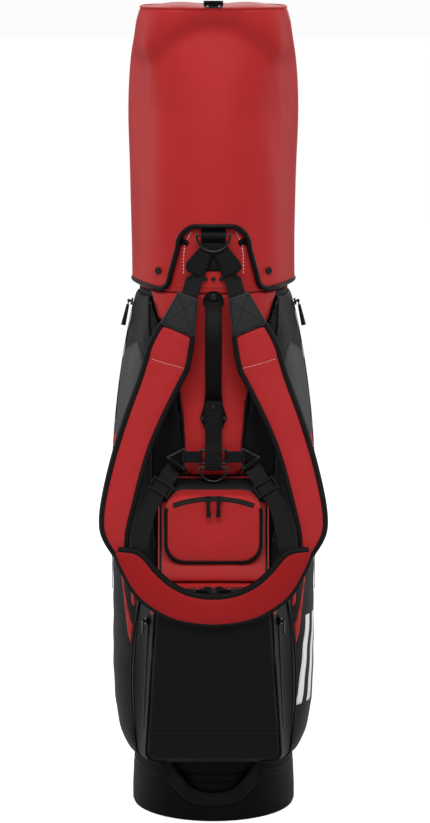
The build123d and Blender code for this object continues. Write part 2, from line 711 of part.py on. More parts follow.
def harness_yoke():
    arms = [(-20, 923), (20, 923), (22, 916), (42, 893), (44, 884), (41, 879), (15, 866.5), (0, 905),
            (-15, 866.5), (-41, 879), (-44, 884), (-42, 893), (-22, 916)]
    yoke = front_prism(front_face(arms), -YOKE_Y, -YOKE_Y + YOKE_THICK)
    back = front_prism(front_face([(-13, 878), (13, 878), (13, 920), (-13, 920)]), CUFF_RY + FIT, -YOKE_Y)
    return yoke + back


def ribbon(points, width, profile, thick):
    """A flat strap along (x, z) points, whose front follows (y, z) points."""
    left, right = [], []
    for i, point in enumerate(points):
        before = Vector(*points[max(i - 1, 0)])
        after = Vector(*points[min(i + 1, len(points) - 1)])
        along = (after - before).normalized()
        across = Vector(-along.Y, along.X) * (width / 2)
        left.append((point[0] + across.X, point[1] + across.Y))
        right.append((point[0] - across.X, point[1] - across.Y))
    face = front_face(left + right[::-1])
    return front_prism(face, 0, 400) & side_slab(profile, thick, 300)


PAD_PROFILE = [(-147.5, 812), (-153, 720), (-168, 620), (-186, 530), (-196, 462), (-198, 440)]
PATCH_PROFILE = [(-145.5, 860), (-150.5, 770)]
PATCH_THICK = 3.0


def patch_back(z):
    (y0, z0), (y1, z1) = PATCH_PROFILE
    return y0 + (y1 - y0) * (z0 - z) / (z0 - z1) + PATCH_THICK


def strap_profile():
    """From the yoke's arm out to the back of the cross patch."""
    yoke_front = YOKE_Y - 0.4
    points = [(yoke_front - WEB_THICK / 2, 890), (yoke_front - WEB_THICK / 2, 869)]
    return points + [(patch_back(z) + FIT, z) for z in (843, 815)]


def upper_webbing():
    """From the yoke's arm down to the cross patch."""
    points = [(28.3, 872.0), (40.6, 828.0)]
    web = ribbon(points, WEB_WIDTH, strap_profile(), WEB_THICK)
    arms = [(0, 900), (15 - 0.2, 866.5 - 0.3), (44, 879 - 1.3), (60, 900)]
    return web - front_prism(front_face(arms), 0, 300)


def cross_patch():
    """The stitched patch that joins the webbing to the shoulder pad."""
    outline = [(23, 838), (54, 850), (83, 799.5), (29, 778)]
    return front_prism(front_face(outline), 0, 300) & side_slab(PATCH_PROFILE, PATCH_THICK, 300)


PAD_OUTER = [
    (82, 798.4), (99.6, 765), (113.5, 718), (136, 657), (155.6, 595), (170, 534), (174.5, 495), (170, 476), (153, 446)
]
PAD_INNER = [
    (133, 456), (130, 485), (120, 525), (108, 571), (92.5, 618), (70, 668), (46, 715), (38, 732), (30, 777.7)
]


def shoulder_pad():
    outline = Plane.XZ * make_face(Polyline(*PAD_OUTER, *PAD_INNER, close=True))
    return front_prism(outline, 0, 400) & side_slab(PAD_PROFILE, PAD_THICK, 300)


BAND_PLAN = [(0, -230), (60, -229), (100, -223), (130, -217), (156, -208.6)]
BAND_LOWER = [(0, 339.5), (44, 344), (82, 357), (120, 384), (143, 423), (154, 454)]
BAND_UPPER = [(146, 459), (123, 460), (108, 453), (89.5, 431), (66.6, 410), (36, 395)]


def cross_band():
    right = BAND_LOWER + BAND_UPPER + [(0, 390)]
    left = [(-x, z) for x, z in reversed(right) if x > 0]
    outline = Plane.XZ * make_face(Polyline(*right, *left, close=True))
    return front_prism(outline, 0, 400) & plan_slab(BAND_PLAN, BAND_THICK, 300, 500)


def side_webbing():
    """The short strap between the spine ring and the triangle ring."""
    near, far = SPINE_RING_HALF + WIRE_R + 0.4, 45 - WIRE_R - 0.4
    height = 18.0
    return Pos((near + far) / 2, SPINE_RING_Y, 590.5) * Box(far - near, WEB_THICK, height)


LOWER_START = Vector(61.0, 0, 574.0)
LOWER_BEND = Vector(99.5, 0, 519.0)
LOWER_END = Vector(115.0, 0, 443.0)
LOWER_PROFILE = [(-141.5, 590), (-141.5, 578), (-203.4, 458), (-205.8, 435)]


def lower_webbing():
    """The adjustable strap from the triangle ring to the shoulder pad's foot."""
    points = [(v.X, v.Z) for v in (LOWER_START, LOWER_BEND, LOWER_END)]
    return ribbon(points, WEB_WIDTH, LOWER_PROFILE, WEB_THICK)


def triglide_centre():
    share = 0.52
    x = LOWER_START.X + share * (LOWER_BEND.X - LOWER_START.X)
    z = LOWER_START.Z + share * (LOWER_BEND.Z - LOWER_START.Z)
    (y0, z0), (y1, z1) = LOWER_PROFILE[1:3]
    y = y0 + (y1 - y0) * (z - z0) / (z1 - z0)
    return x, y + WEB_THICK / 2, z


def triglide_axis():
    (y0, z0), (y1, z1) = LOWER_PROFILE[1:3]
    run = LOWER_BEND - LOWER_START
    return Vector(run.X, (y1 - y0) / (z1 - z0) * run.Z, run.Z).normalized()


def triglide(side):
    """A three-bar slider: its outer bars lie before the strap and its middle bar behind."""
    along = triglide_axis()
    outward = Vector(1, 0, 0).cross(along)
    outward = outward if outward.Y < 0 else -outward
    across = outward.cross(along)
    out = outward.normalized()
    half = WEB_WIDTH / 2 + 3.6
    gap = WEB_THICK / 2 + 0.5
    place = Plane(triglide_centre(), x_dir=across, z_dir=out)
    frame = None
    for end in (-1, 1):
        rail = Pos(end * half, 0, 0) * Box(3, 21, 2 * gap + 5)
        frame = rail if frame is None else frame + rail
        frame += Pos(0, end * 8.8, gap + 1.25) * Box(2 * half, 3.4, 2.5)
    frame += Pos(0, 0, -gap - 1.25) * Box(2 * half, 3.4, 2.5)
    solid = place * frame
    return solid if side > 0 else solid.mirror(Plane.YZ)


# ---------------------------------------------------------------- base grab handle
GRAB_X = 84.0
GRAB_THICK = 3.0
GRAB_PIVOT_Y = -(BASE_R - 12.5)
GRAB_BELLY = BASE_R + 6.5  # how far the loop stands out in front of the base
GRAB_HANG = 0.44  # gap under the ball pocket's foot


def ball_foot(y):
    """Height of the ball pocket's underside between its two rear sections."""
    (y0, _, _, low0, _), (y1, _, _, low1, _) = BALL_SECTIONS[:2]
    return low0 + (low1 - low0) * (y - y0) / (y1 - y0)


GRAB_Z = ball_foot(GRAB_PIVOT_Y) - GRAB_HANG


def grab_handle():
    """The webbing loop at the foot of the bag, for lifting it."""
    outer = [(GRAB_X + 12, GRAB_Z), (70, 62), (38, 34), (0, 28)]
    inner = [(GRAB_X - 8, GRAB_Z), (52, 76), (28, 54), (0, 49)]
    right = [outer[0], *outer[1:]] + inner[::-1]
    left = [(-x, z) for x, z in right]
    half = Plane.XZ * make_face(Polyline(*right, close=True))
    other = Plane.XZ * make_face(Polyline(*left, close=True))
    front = GRAB_PIVOT_Y - GRAB_THICK / 2
    plan = [(0, -GRAB_BELLY), (45, -GRAB_BELLY + 4.5), (72, front), (110, front)]
    slab = plan_slab(plan, GRAB_THICK, 20, GRAB_Z)
    handle = front_prism(half + other, 0, 300) & slab
    top = handle.edges().group_by(Axis.Z)[-1].filter_by(Axis.X)
    return fillet(top, GRAB_THICK / 2 - 0.05)


# ---------------------------------------------------------------- zip sliders and pulls
SLIDER_OUT = 3.6  # from the slider's front face to the pull's pivot


def zip_slider(long=11.0, tall=9.5):
    """A slider whose pull pivots about X at the origin; its tape is on its +Y side."""
    body = Pos(0, SLIDER_OUT + 1.6, 0) * Box(long, 3.2, tall)
    body = fillet(body.edges().filter_by(Axis.Y), 2.5)
    for end in (-1, 1):
        body += Pos(end * 2.9, SLIDER_OUT / 2 - 0.7, 0) * Box(1.4, SLIDER_OUT + 1.6, 3.2)
    return body + bar((-3.2, 0, 0), (3.2, 0, 0), 1.0)


def upright_slider():
    return zip_slider(9.5, 11.0)


def zip_pull(length=27.0):
    """A cord pull with a tapered rubber grip, hanging from its eye at the origin."""
    pull = Rot(0, 90, 0) * Cylinder(2.5, 3.6) + Pos(0, 0, -4) * Box(2.4, 2.2, 6)
    pull += Rot(180, 0, 0) * Pos(0, 0, 6.5) * Cone(
        2.4, 3.8, length - 6.5, align=FROM_FOOT)
    return pull - Rot(0, 90, 0) * Cylinder(1.0 + RUN_FIT, 10)


VAL_SLIDER_X = 8.5
SLIDER_THICK = 3.2
VAL_SLIDER_Y = VAL_FRONT_Y - 0.6 - FIT - SLIDER_THICK - SLIDER_OUT


def valuables_slider_place(side):
    turn = asin(VAL_SLIDER_X / VAL_ZIP_R)
    place = Pos(side * VAL_ZIP_R * sin(turn), VAL_SLIDER_Y, VAL_ZIP_CENTRE + VAL_ZIP_R * cos(turn))
    return place, degrees(turn)


SIDE_SLIDER_Z = 816.0


def side_slider_place(side):
    """Centre of the slider's pull pivot on the long side zip, and its tilt."""
    turn = asin((SIDE_SLIDER_Z - SIDE_BOW_Z) / SIDE_BOW_R)
    reach = SIDE_BOW_R + TAPE_PROUD + FIT + SLIDER_THICK + SLIDER_OUT
    x = SIDE_REACH - SIDE_BOW_R + reach * cos(turn)
    z = SIDE_BOW_Z + reach * sin(turn)
    return Pos(side * x, SIDE_ZIP_Y, z) * Rot(0, -side * degrees(turn), 0) * Rot(0, 0, side * 90)


GUSSET_SLIDER_Z = 338.0


def gusset_slider(side):
    """A slider at the top of the gusset zip, with a short pull hanging down, in one piece."""
    place = gusset_frame(side, GUSSET_SLIDER_Z, FIT + TAPE_PROUD + FIT + SLIDER_THICK + SLIDER_OUT)
    slider = upright_slider() + Pos(0, 0, -10) * Box(3.6, 2.2, 20)
    return place * Rot(0, 0, -90) * Rot(-90, 0, 0) * slider


BALL_SLIDER_X = 9.0


def ball_slider(side):
    """A slider with its short pull lying outwards along the zip, in one piece."""
    slider = zip_slider() + Pos(side * 9, 0, 0) * Box(18, 2.2, 3.6)
    y = BALL_ZIP_Y - TAPE_PROUD - FIT - SLIDER_THICK - SLIDER_OUT
    return Pos(side * BALL_SLIDER_X, y, BALL_ZIP_Z) * slider


# ---------------------------------------------------------------- hood
def hood_solid(inset=0.0, low=0.0):
    sections = [(z, rx, ry) for z, rx, ry in HOOD_SECTIONS]
    sections[0] = (HOOD_HEM - low, *HOOD_SECTIONS[0][1:])
    top = HOOD_SECTIONS[-1]
    sections[-1] = (top[0] - max(inset, 0), top[1], top[2])
    return elliptic_loft(sections, -inset, ruled=True)


def cutout_prism(grow=0.0):
    foot, head = CUTOUT_FOOT_HALF + grow, CUTOUT_HEAD_HALF + grow
    low, high = HOOD_HEM - 20, CUTOUT_TOP + grow
    face = Plane.XZ * make_face(Polyline((-foot, low), (foot, low), (head, high), (-head, high), close=True))
    face = fillet(face.vertices().sort_by(Axis.Z)[-2:], 28 + grow)
    return front_prism(face, 20, 200)


def hood_shell():
    hood = hood_solid() - hood_solid(HOOD_WALL, 1) - cutout_prism()
    for x in (-SNAP_X, SNAP_X):
        for back in (-1, 1):
            hood -= snap_place(x, back, SNAP_Z, *hood_half(SNAP_Z)) * Rot(90, 0, 0) * Cylinder(2.3, 20)
    return hood


def hood_hem():
    """Piping over the hood's lower edge and round its front cut-out."""
    layer = hood_solid(-2.6) - hood_solid(-FIT, 1)
    edge = (Pos(0, 0, HOOD_HEM) * Box(400, 400, 2 * BINDING)) + (cutout_prism(BINDING))
    return (layer & edge) - cutout_prism()


SNAP_X = 85.0
SNAP_Z = 876.0


def hood_half(z):
    """The hood's half width and half depth between its two lowest sections."""
    (z0, rx0, ry0), (z1, rx1, ry1) = HOOD_SECTIONS[:2]
    share = (z - z0) / (z1 - z0)
    return rx0 + (rx1 - rx0) * share, ry0 + (ry1 - ry0) * share


def snap_place(x, back, z, rx, ry):
    """On the ellipse at x, with -Y pointing out of the surface."""
    y = back * ry * sqrt(1 - (x / rx) ** 2)
    out = degrees(atan2(x / rx**2, -y / ry**2))
    return Pos(x, y, z) * Rot(0, 0, out)


def hood_snaps():
    """Four press studs: a cap outside, a post through the hood and a socket inside."""
    rx, ry = hood_half(SNAP_Z)
    snaps = []
    for x in (-SNAP_X, SNAP_X):
        for back in (-1, 1):
            cap = Pos(0, -0.4, 0) * Rot(90, 0, 0) * Cylinder(5.5, 2, align=FROM_FOOT)
            post = Pos(0, 1.3, 0) * Rot(90, 0, 0) * Cylinder(2.0, HOOD_WALL + 3)
            socket = Pos(0, HOOD_WALL + 1.6, 0) * Rot(90, 0, 0) * Cylinder(4.5, 1.8)
            snaps.append(snap_place(x, back, SNAP_Z, rx, ry) * (cap + post + socket))
    return snaps


def hood_top_tab():
    """A strap across the hood's lid, under the buckle."""
    return Pos(0, 0, HOOD_TOP + FIT + 0.8) * Box(WEB_WIDTH, 176, 1.6)


def hood_buckle():
    body = Pos(0, -86, HOOD_TOP + 2 * FIT + 1.6 + 4) * Box(30, 20, 8)
    body = fillet(body.edges().filter_by(Axis.Z), 4)
    body -= Pos(0, -86, HOOD_TOP + 2 * FIT + 1.6 + 8) * Box(18, 8, 8)
    return body


# ---------------------------------------------------------------- build
def main():
    os.makedirs("parts", exist_ok=True)
    save("base_boot", base_boot())
    save("kick_plate", kick_plate())
    save("hinge_pins", kick_pin(), leg_pin(-1), leg_pin(1))
    save("actuator_rod", actuator_rod())
    save("rod_guides", *rod_guides())
    save("leg_bracket", leg_bracket())
    for name, side in (("left", -1), ("right", 1)):
        save(f"{name}_leg_knuckle", leg_knuckle(side))
        save(f"{name}_leg_tube", leg_tube(side))
        save(f"{name}_leg_foot", leg_foot(side))
    save("body_shell", body_shell())
    save("frame_stays", *frame_stays())
    save("top_cuff", top_cuff())
    save("divider_grid", divider_grid())
    save("well_dividers", *well_dividers())
    save("spine_panel", spine_panel())
    pocket = side_pocket()
    save("right_side_pocket", pocket)
    save("left_side_pocket", pocket.mirror(Plane.YZ))
    save("mid_pocket", mid_pocket())
    save("valuables_pocket", valuables_pocket())
    save("ball_pocket", ball_pocket())
    save("carry_handle", carry_handle())
    save("handle_mounts", handle_top_boss(), handle_bracket())
    save("rivets_and_studs", *screws())
    save("spine_strap", spine_strap())
    save("harness_rings", spine_ring(), triangle_ring(-1), triangle_ring(1))
    save("spine_d_ring", spine_d_ring())
    save("cuff_d_ring", cuff_d_ring())
    save("cuff_ring_loop", ring_loop())
    save("harness_yoke", harness_yoke())
    save("upper_webbing", *both_sides(upper_webbing()))
    save("cross_patches", *both_sides(cross_patch()))
    pad = shoulder_pad()
    save("right_shoulder_pad", pad)
    save("left_shoulder_pad", pad.mirror(Plane.YZ))
    save("cross_band", cross_band())
    save("side_webbing", *both_sides(side_webbing()))
    save("lower_webbing", *both_sides(lower_webbing()))
    save("left_triglide", triglide(-1))
    save("right_triglide", triglide(1))
    save("grab_handle", grab_handle())
    tapes = [valuables_zip(), ball_zip(), gusset_zip(-1), gusset_zip(1)]
    save("zip_tapes", *tapes, *both_sides(side_zip_tape()))
    for name, side in (("left", -1), ("right", 1)):
        place, turn = valuables_slider_place(side)
        save(f"{name}_valuables_slider", place * Rot(0, side * turn, 0) * zip_slider())
        save(f"{name}_valuables_pull", place * Rot(0, side * turn, 0) * zip_pull())
        place = side_slider_place(side)
        save(f"{name}_side_slider", place * upright_slider())
        save(f"{name}_side_pull", place * zip_pull(40))
        save(f"{name}_gusset_slider", gusset_slider(side))
        save(f"{name}_ball_slider", ball_slider(side))
    save("hood_shell", hood_shell())
    save("hood_hem", hood_hem())
    save("hood_snaps", *hood_snaps())
    save("hood_top_tab", hood_top_tab())
    save("hood_buckle", hood_buckle())


main()
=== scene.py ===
from math import asin, atan2, cos, exp, pi, radians, sin, sqrt

import bmesh
import bpy
from mathutils import Matrix, Vector
from mathutils.bvhtree import BVHTree


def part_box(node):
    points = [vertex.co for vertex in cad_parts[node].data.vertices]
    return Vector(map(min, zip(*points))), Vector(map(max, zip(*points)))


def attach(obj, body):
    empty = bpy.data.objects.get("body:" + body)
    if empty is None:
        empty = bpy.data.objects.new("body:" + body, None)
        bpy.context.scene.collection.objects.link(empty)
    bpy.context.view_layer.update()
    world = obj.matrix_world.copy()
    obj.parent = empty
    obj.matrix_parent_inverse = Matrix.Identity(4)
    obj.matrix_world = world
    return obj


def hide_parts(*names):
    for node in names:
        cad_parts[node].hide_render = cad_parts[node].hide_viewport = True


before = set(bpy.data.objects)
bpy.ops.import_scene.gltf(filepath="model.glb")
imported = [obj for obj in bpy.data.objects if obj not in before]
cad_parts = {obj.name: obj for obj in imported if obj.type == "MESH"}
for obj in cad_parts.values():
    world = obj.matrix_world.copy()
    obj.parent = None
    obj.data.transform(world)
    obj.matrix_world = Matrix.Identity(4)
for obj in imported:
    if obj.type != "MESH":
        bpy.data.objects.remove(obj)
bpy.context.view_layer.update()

# ---------------------------------------------------------------- camera, light and floor
# A stand bag on a pale studio floor, seen from its harness side by a distant
# camera a little above the hood, under a broad soft light, side strips and a back light.
MM = 0.001
CAMERA_AT = Vector((0.0024, -4.6, 1.418))
CAMERA_AIM = Vector((0.0024, 0.0, 0.638))
LENS = 128

camera_data = bpy.data.cameras.new("camera")
camera_data.lens = LENS
camera = bpy.data.objects.new("camera", camera_data)
camera.location = CAMERA_AT
camera.rotation_euler = (CAMERA_AIM - CAMERA_AT).to_track_quat("-Z", "Y").to_euler()
bpy.context.collection.objects.link(camera)
bpy.context.scene.camera = camera
bpy.context.scene.view_settings.view_transform = "Standard"


def soft_light(name, at, aim, width, height, watts):
    """A rectangular lamp aimed at a point."""
    data = bpy.data.lights.new(name, "AREA")
    data.shape = "RECTANGLE"
    data.size = width
    data.size_y = height
    data.energy = watts
    light = bpy.data.objects.new(name, data)
    light.location = at
    light.rotation_euler = (Vector(aim) - Vector(at)).to_track_quat("-Z", "Y").to_euler()
    bpy.context.collection.objects.link(light)


soft_light("key_light", (-0.2, -2.7, 3.6), (0, 0, 0.75), 4.4, 1.6, 138)
soft_light("left_strip", (-2.3, 0.8, 1.2), (0, 0, 0.75), 0.4, 2.4, 22)
soft_light("right_strip", (2.3, 0.8, 1.2), (0, 0, 0.75), 0.4, 2.4, 22)
soft_light("back_light", (0.3, 2.8, 2.0), (0, 0, 0.8), 2.0, 2.0, 22)

# The studio's walls and floor look white, but light the bag more softly than they look.
WALL_LOOK = 0.97
WALL_LIGHT = 0.46
FLOOR_GLOW = 0.72
world = bpy.data.worlds.new("studio")
world.use_nodes = True
walls = world.node_tree.nodes
dim = walls["Background"]
dim.inputs["Color"].default_value = (1, 1, 1, 1)
dim.inputs["Strength"].default_value = WALL_LIGHT
bright = walls.new("ShaderNodeBackground")
bright.inputs["Color"].default_value = (1, 1, 1, 1)
bright.inputs["Strength"].default_value = WALL_LOOK
seen = walls.new("ShaderNodeLightPath")
either = walls.new("ShaderNodeMixShader")
world.node_tree.links.new(seen.outputs["Is Camera Ray"], either.inputs["Fac"])
world.node_tree.links.new(dim.outputs["Background"], either.inputs[1])
world.node_tree.links.new(bright.outputs["Background"], either.inputs[2])
world.node_tree.links.new(either.outputs["Shader"], walls["World Output"].inputs["Surface"])
bpy.context.scene.world = world

floor_paint = bpy.data.materials.new("floor_paint")
floor_paint.use_nodes = True
floor_nodes = floor_paint.node_tree.nodes
floor_shader = floor_nodes["Principled BSDF"]
floor_shader.inputs["Base Color"].default_value = (0.6, 0.6, 0.6, 1)
floor_shader.inputs["Roughness"].default_value = 0.8
floor_shader.inputs["Emission Color"].default_value = (1, 1, 1, 1)
floor_seen = floor_nodes.new("ShaderNodeLightPath")
lift = floor_nodes.new("ShaderNodeMath")
lift.operation = "MULTIPLY"
lift.inputs[1].default_value = FLOOR_GLOW
floor_paint.node_tree.links.new(floor_seen.outputs["Is Camera Ray"], lift.inputs[0])
floor_paint.node_tree.links.new(lift.outputs["Value"], floor_shader.inputs["Emission Strength"])
bm = bmesh.new()
bmesh.ops.create_grid(bm, x_segments=1, y_segments=1, size=30)
floor_mesh = bpy.data.meshes.new("floor")
bm.to_mesh(floor_mesh)
bm.free()
floor_mesh.materials.append(floor_paint)
floor = bpy.data.objects.new("floor", floor_mesh)
bpy.context.collection.objects.link(floor)

# ---------------------------------------------------------------- base
# The foot of the bag: one black moulding with a flared skirt, a ring groove and a
# panelled collar that the bag tube is riveted into. Its surface is finely pebbled.


def effect(name, inputs, outputs):
    """An empty node group with named sockets, and its two end nodes."""
    group = bpy.data.node_groups.new(name, "ShaderNodeTree")
    kinds = {"colour": "NodeSocketColor", "value": "NodeSocketFloat", "vector": "NodeSocketVector"}
    for label, kind in inputs:
        group.interface.new_socket(name=label, in_out="INPUT", socket_type=kinds[kind])
    for label, kind in outputs:
        group.interface.new_socket(name=label, in_out="OUTPUT", socket_type=kinds[kind])
    return group, group.nodes.new("NodeGroupInput"), group.nodes.new("NodeGroupOutput")


def step(group, kind, links=(), **settings):
    """A node in a group: settings that name a socket set it, the others set the node."""
    node = group.nodes.new(kind)
    for label, value in settings.items():
        if label in node.inputs:
            node.inputs[label].default_value = value
        else:
            setattr(node, label, value)
    for label, source in links:
        group.links.new(source, node.inputs[label])
    return node


def surface(name, fineness):
    """The sockets that both surface effects share, and their texture coordinates."""
    group, given, out = effect(
        name,
        [("Colour", "colour"), ("Fade", "value"), (fineness, "value"), ("Depth", "value"), ("Gloss", "value")],
        [("Colour", "colour"), ("Roughness", "value"), ("Normal", "vector")],
    )
    return group, given.outputs, out.inputs, group.nodes.new("ShaderNodeTexCoord").outputs["Object"]


def close_surface(group, given, out, tone, tone_range, swing, relief, height):
    """Ends an effect: mottled colour, uneven gloss, and a bump of its relief."""
    shade = step(group, "ShaderNodeMapRange", [("Value", tone[0]), ("To Min", given["Fade"])])
    shade.inputs["From Min"].default_value, shade.inputs["From Max"].default_value = tone_range
    tint = step(group, "ShaderNodeMix", [(6, given["Colour"]), (7, shade.outputs[0])], data_type="RGBA",
                blend_type="MULTIPLY")
    tint.inputs[0].default_value = 1.0
    rough = step(group, "ShaderNodeMath", [(0, tone[1]), (2, given["Gloss"])], operation="MULTIPLY_ADD")
    rough.inputs[1].default_value = swing
    bump = step(group, "ShaderNodeBump", [("Height", relief), ("Strength", given["Depth"])], Distance=height)
    for label, source in (("Colour", tint.outputs[2]), ("Roughness", rough.outputs[0]), ("Normal", bump.outputs[0])):
        group.links.new(source, out[label])


# Pebbled surface of leather and moulded plastic, with cloudy wear in its gloss.
grain, given, out, place = surface("pebble_grain", "Pebble")
pebbles = step(grain, "ShaderNodeTexVoronoi", [("Vector", place), ("Scale", given["Pebble"])])
clouds = step(grain, "ShaderNodeTexNoise", [("Vector", place)], Scale=9.0, Detail=5.0)
fine = step(grain, "ShaderNodeTexNoise", [("Vector", place)], Scale=900.0, Detail=2.0)
relief = step(grain, "ShaderNodeMath", [(0, pebbles.outputs["Distance"]), (1, fine.outputs["Fac"])], operation="ADD")
cloudy = clouds.outputs["Fac"]
close_surface(grain, given, out, (cloudy, cloudy), (0.3, 0.7), 0.12, relief.outputs[0], 0.0006)


def finish(name, group, colour, fade, fineness, depth, gloss, **shader):
    """A material: one surface effect feeding a Principled shader, whose other sockets are plain."""
    made = bpy.data.materials.new(name)
    made.use_nodes = True
    nodes = made.node_tree.nodes
    principled = nodes["Principled BSDF"]
    node = nodes.new("ShaderNodeGroup")
    node.node_tree = group
    for socket, value in zip(node.inputs, ((*colour, 1), fade, fineness, depth, gloss)):
        socket.default_value = value
    for label, target in (("Colour", "Base Color"), ("Roughness", "Roughness"), ("Normal", "Normal")):
        made.node_tree.links.new(node.outputs[label], principled.inputs[target])
    for label, value in shader.items():
        principled.inputs[label.replace("_", " ")].default_value = value
    return made


moulding = finish("black_moulding", grain, (0.0032, 0.0032, 0.0033), 0.8, 700, 0.25, 0.42, Specular_IOR_Level=0.07)


def coat(material, *nodes):
    """Gives carried-over CAD nodes a finish."""
    for node in nodes:
        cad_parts[node].data.materials.clear()
        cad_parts[node].data.materials.append(material)


coat(moulding, "base_boot", "kick_plate", "rod_guides", "leg_bracket", "left_leg_knuckle", "right_leg_knuckle")

# ---------------------------------------------------------------- stand mechanism
# Two black anodised leg tubes with rubber feet, a sprung steel wire fork that the
# tilting kick plate pushes up, and the steel pins they turn on.
anodised = finish("black_anodising", grain, (0.012, 0.012, 0.013), 0.9, 1500, 0.05, 0.28, Metallic=0.6)
drawn_wire = finish("drawn_wire", grain, (0.2, 0.2, 0.205), 0.7, 900, 0.08, 0.25, Metallic=1.0)
rubber = finish("black_rubber", grain, (0.005, 0.005, 0.005), 0.75, 500, 0.3, 0.6, Specular_IOR_Level=0.15)
coat(anodised, "left_leg_tube", "right_leg_tube", "frame_stays")
coat(drawn_wire, "actuator_rod", "hinge_pins")
coat(rubber, "left_leg_foot", "right_leg_foot")

# ---------------------------------------------------------------- bag tube
# A tube of coated nylon cloth over a stiff liner, from the base up into the cuff,
# with a felled seam down each side of its back panel.

# Woven cloth: two crossed sets of ribs, with slightly uneven threads.
weave, given, out, place = surface("cloth_weave", "Threads")
sway = step(weave, "ShaderNodeTexNoise", [("Vector", place)], Scale=60.0, Detail=3.0)
weft, warp = (step(weave, "ShaderNodeTexWave", [("Vector", place), ("Scale", given["Threads"])],
                   bands_direction=way, Distortion=0.4) for way in ("Z", "X"))
crossed = step(weave, "ShaderNodeMath", [(0, weft.outputs["Fac"]), (1, warp.outputs["Fac"])], operation="MULTIPLY")
ribs = crossed.outputs[0]
close_surface(weave, given, out, (sway.outputs["Fac"], ribs), (0.25, 0.75), 0.15, ribs, 0.0005)

nylon = finish("black_nylon", weave, (0.005, 0.005, 0.0052), 0.75, 380, 0.5, 0.5, Specular_IOR_Level=0.12)
TUBE_HEAD = 842.0
TUBE_FOOT = 70.0


def wrap(bm, count, levels, point):
    """Rings of count points extruded one from the next; point(turn, level) places each."""
    ring = bmesh.ops.create_circle(bm, segments=count, radius=1)["verts"]
    rings = [ring]
    edges = list({edge for vert in ring for edge in vert.link_edges})
    for _ in levels[1:]:
        made = bmesh.ops.extrude_edge_only(bm, edges=edges)["geom"]
        fresh = {item for item in made if isinstance(item, bmesh.types.BMVert)}
        ring = [next(e.other_vert(v) for e in v.link_edges if e.other_vert(v) in fresh) for v in ring]
        edges = [item for item in made if isinstance(item, bmesh.types.BMEdge) and set(item.verts) <= fresh]
        rings.append(ring)
    for level, ring in zip(levels, rings):
        for i, vert in enumerate(ring):
            vert.co = point(i / count, level)
    return rings


def cap(bm, ring):
    """Closes a ring with one face, which piece() turns outwards."""
    bmesh.ops.contextual_create(bm, geom=ring)


def piece(name, bm, materials, body="bag", turn_out=True):
    """A bmesh drawn in millimetres becomes a smooth object that rides on a body."""
    if turn_out:
        bmesh.ops.recalc_face_normals(bm, faces=bm.faces)
    bmesh.ops.scale(bm, vec=(MM, MM, MM), verts=bm.verts)
    for face in bm.faces:
        face.smooth = True
    mesh = bpy.data.meshes.new(name)
    bm.to_mesh(mesh)
    bm.free()
    for material in materials:
        mesh.materials.append(material)
    mesh.set_sharp_from_angle(angle=radians(50))
    obj = bpy.data.objects.new(name, mesh)
    bpy.context.collection.objects.link(obj)
    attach(obj, body)
    return obj


def tube_point(turn, z, grow=0.0):
    """Turn 0 is the front of the bag, and a quarter turn its right side."""
    share = (TUBE_HEAD - z) / (TUBE_HEAD - 60.0)
    angle = 2 * pi * turn
    rx, ry = 117 + 4 * share + grow, 123 + share + grow
    return Vector((rx * sin(angle), -ry * cos(angle), z))


def soften(obj, thickness=0.0, levels=0):
    """Adds a wall that grows inwards, and then subdivision."""
    if thickness:
        wall = obj.modifiers.new("wall", "SOLIDIFY")
        wall.thickness = thickness * MM
        wall.offset = -1
    if levels:
        smooth = obj.modifiers.new("smooth", "SUBSURF")
        smooth.levels = levels
        smooth.render_levels = levels
    return obj


def stands(obj, slot, *nodes):
    """Hides the CAD nodes that a piece stands for; the piece and its slot are not used."""
    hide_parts(*nodes)


bm = bmesh.new()
wrap(bm, 96, [TUBE_FOOT + i * (TUBE_HEAD - TUBE_FOOT) / 60 for i in range(61)], lambda turn, z: tube_point(
    turn, z, -0.5 * exp(-((abs(abs(turn - 0.5) - 0.115)) / 0.004) ** 2) - 0.2 * sin(z / 31) * sin(turn * 44)))
tube = soften(piece("tube_cloth", bm, [nylon]), 2.0)
stands(tube, "black_fabric", "body_shell")

# ---------------------------------------------------------------- dividers
# Six wells: a moulded grid covered in padded lining cloth sits in the cuff, and
# thin cloth walls hang from it down to the base.
lining = finish("grey_lining", weave, (0.07, 0.07, 0.073), 0.7, 300, 0.6, 0.7)
GRID_TOP = 944.0
GRID_DEEP = 36.0
GRID_ROW = 38.0
GRID_BAR = 8.0


def padded_bar(bm, at, size):
    """A box with well-rounded upper edges, for a cloth-covered bar."""
    box = bmesh.ops.create_cube(bm, size=1)["verts"]
    bmesh.ops.scale(bm, vec=size, verts=box)
    bmesh.ops.translate(bm, vec=at, verts=box)
    top = [e for v in box for e in v.link_edges if all(w.co.z > at[2] for w in e.verts)]
    bmesh.ops.bevel(bm, geom=list(set(top)), offset=3.4, segments=4, profile=0.5, affect="EDGES", material=-1)


bm = bmesh.new()
for side in (-1, 1):
    reach = 2 * 107.0
    padded_bar(bm, (0, side * GRID_ROW, GRID_TOP - GRID_DEEP / 2), (reach, GRID_BAR, GRID_DEEP))
    span = 118 - GRID_ROW - GRID_BAR / 2 - 0.3
    padded_bar(bm, (0, side * (118 - span / 2), GRID_TOP - GRID_DEEP / 2), (GRID_BAR, span, GRID_DEEP))
padded_bar(bm, (0, 0, GRID_TOP - GRID_DEEP / 2), (GRID_BAR, 2 * GRID_ROW - GRID_BAR - 0.4, GRID_DEEP))
grid = piece("padded_divider_grid", bm, [lining])
stands(grid, "grey_lining", "divider_grid")
coat(lining, "well_dividers")

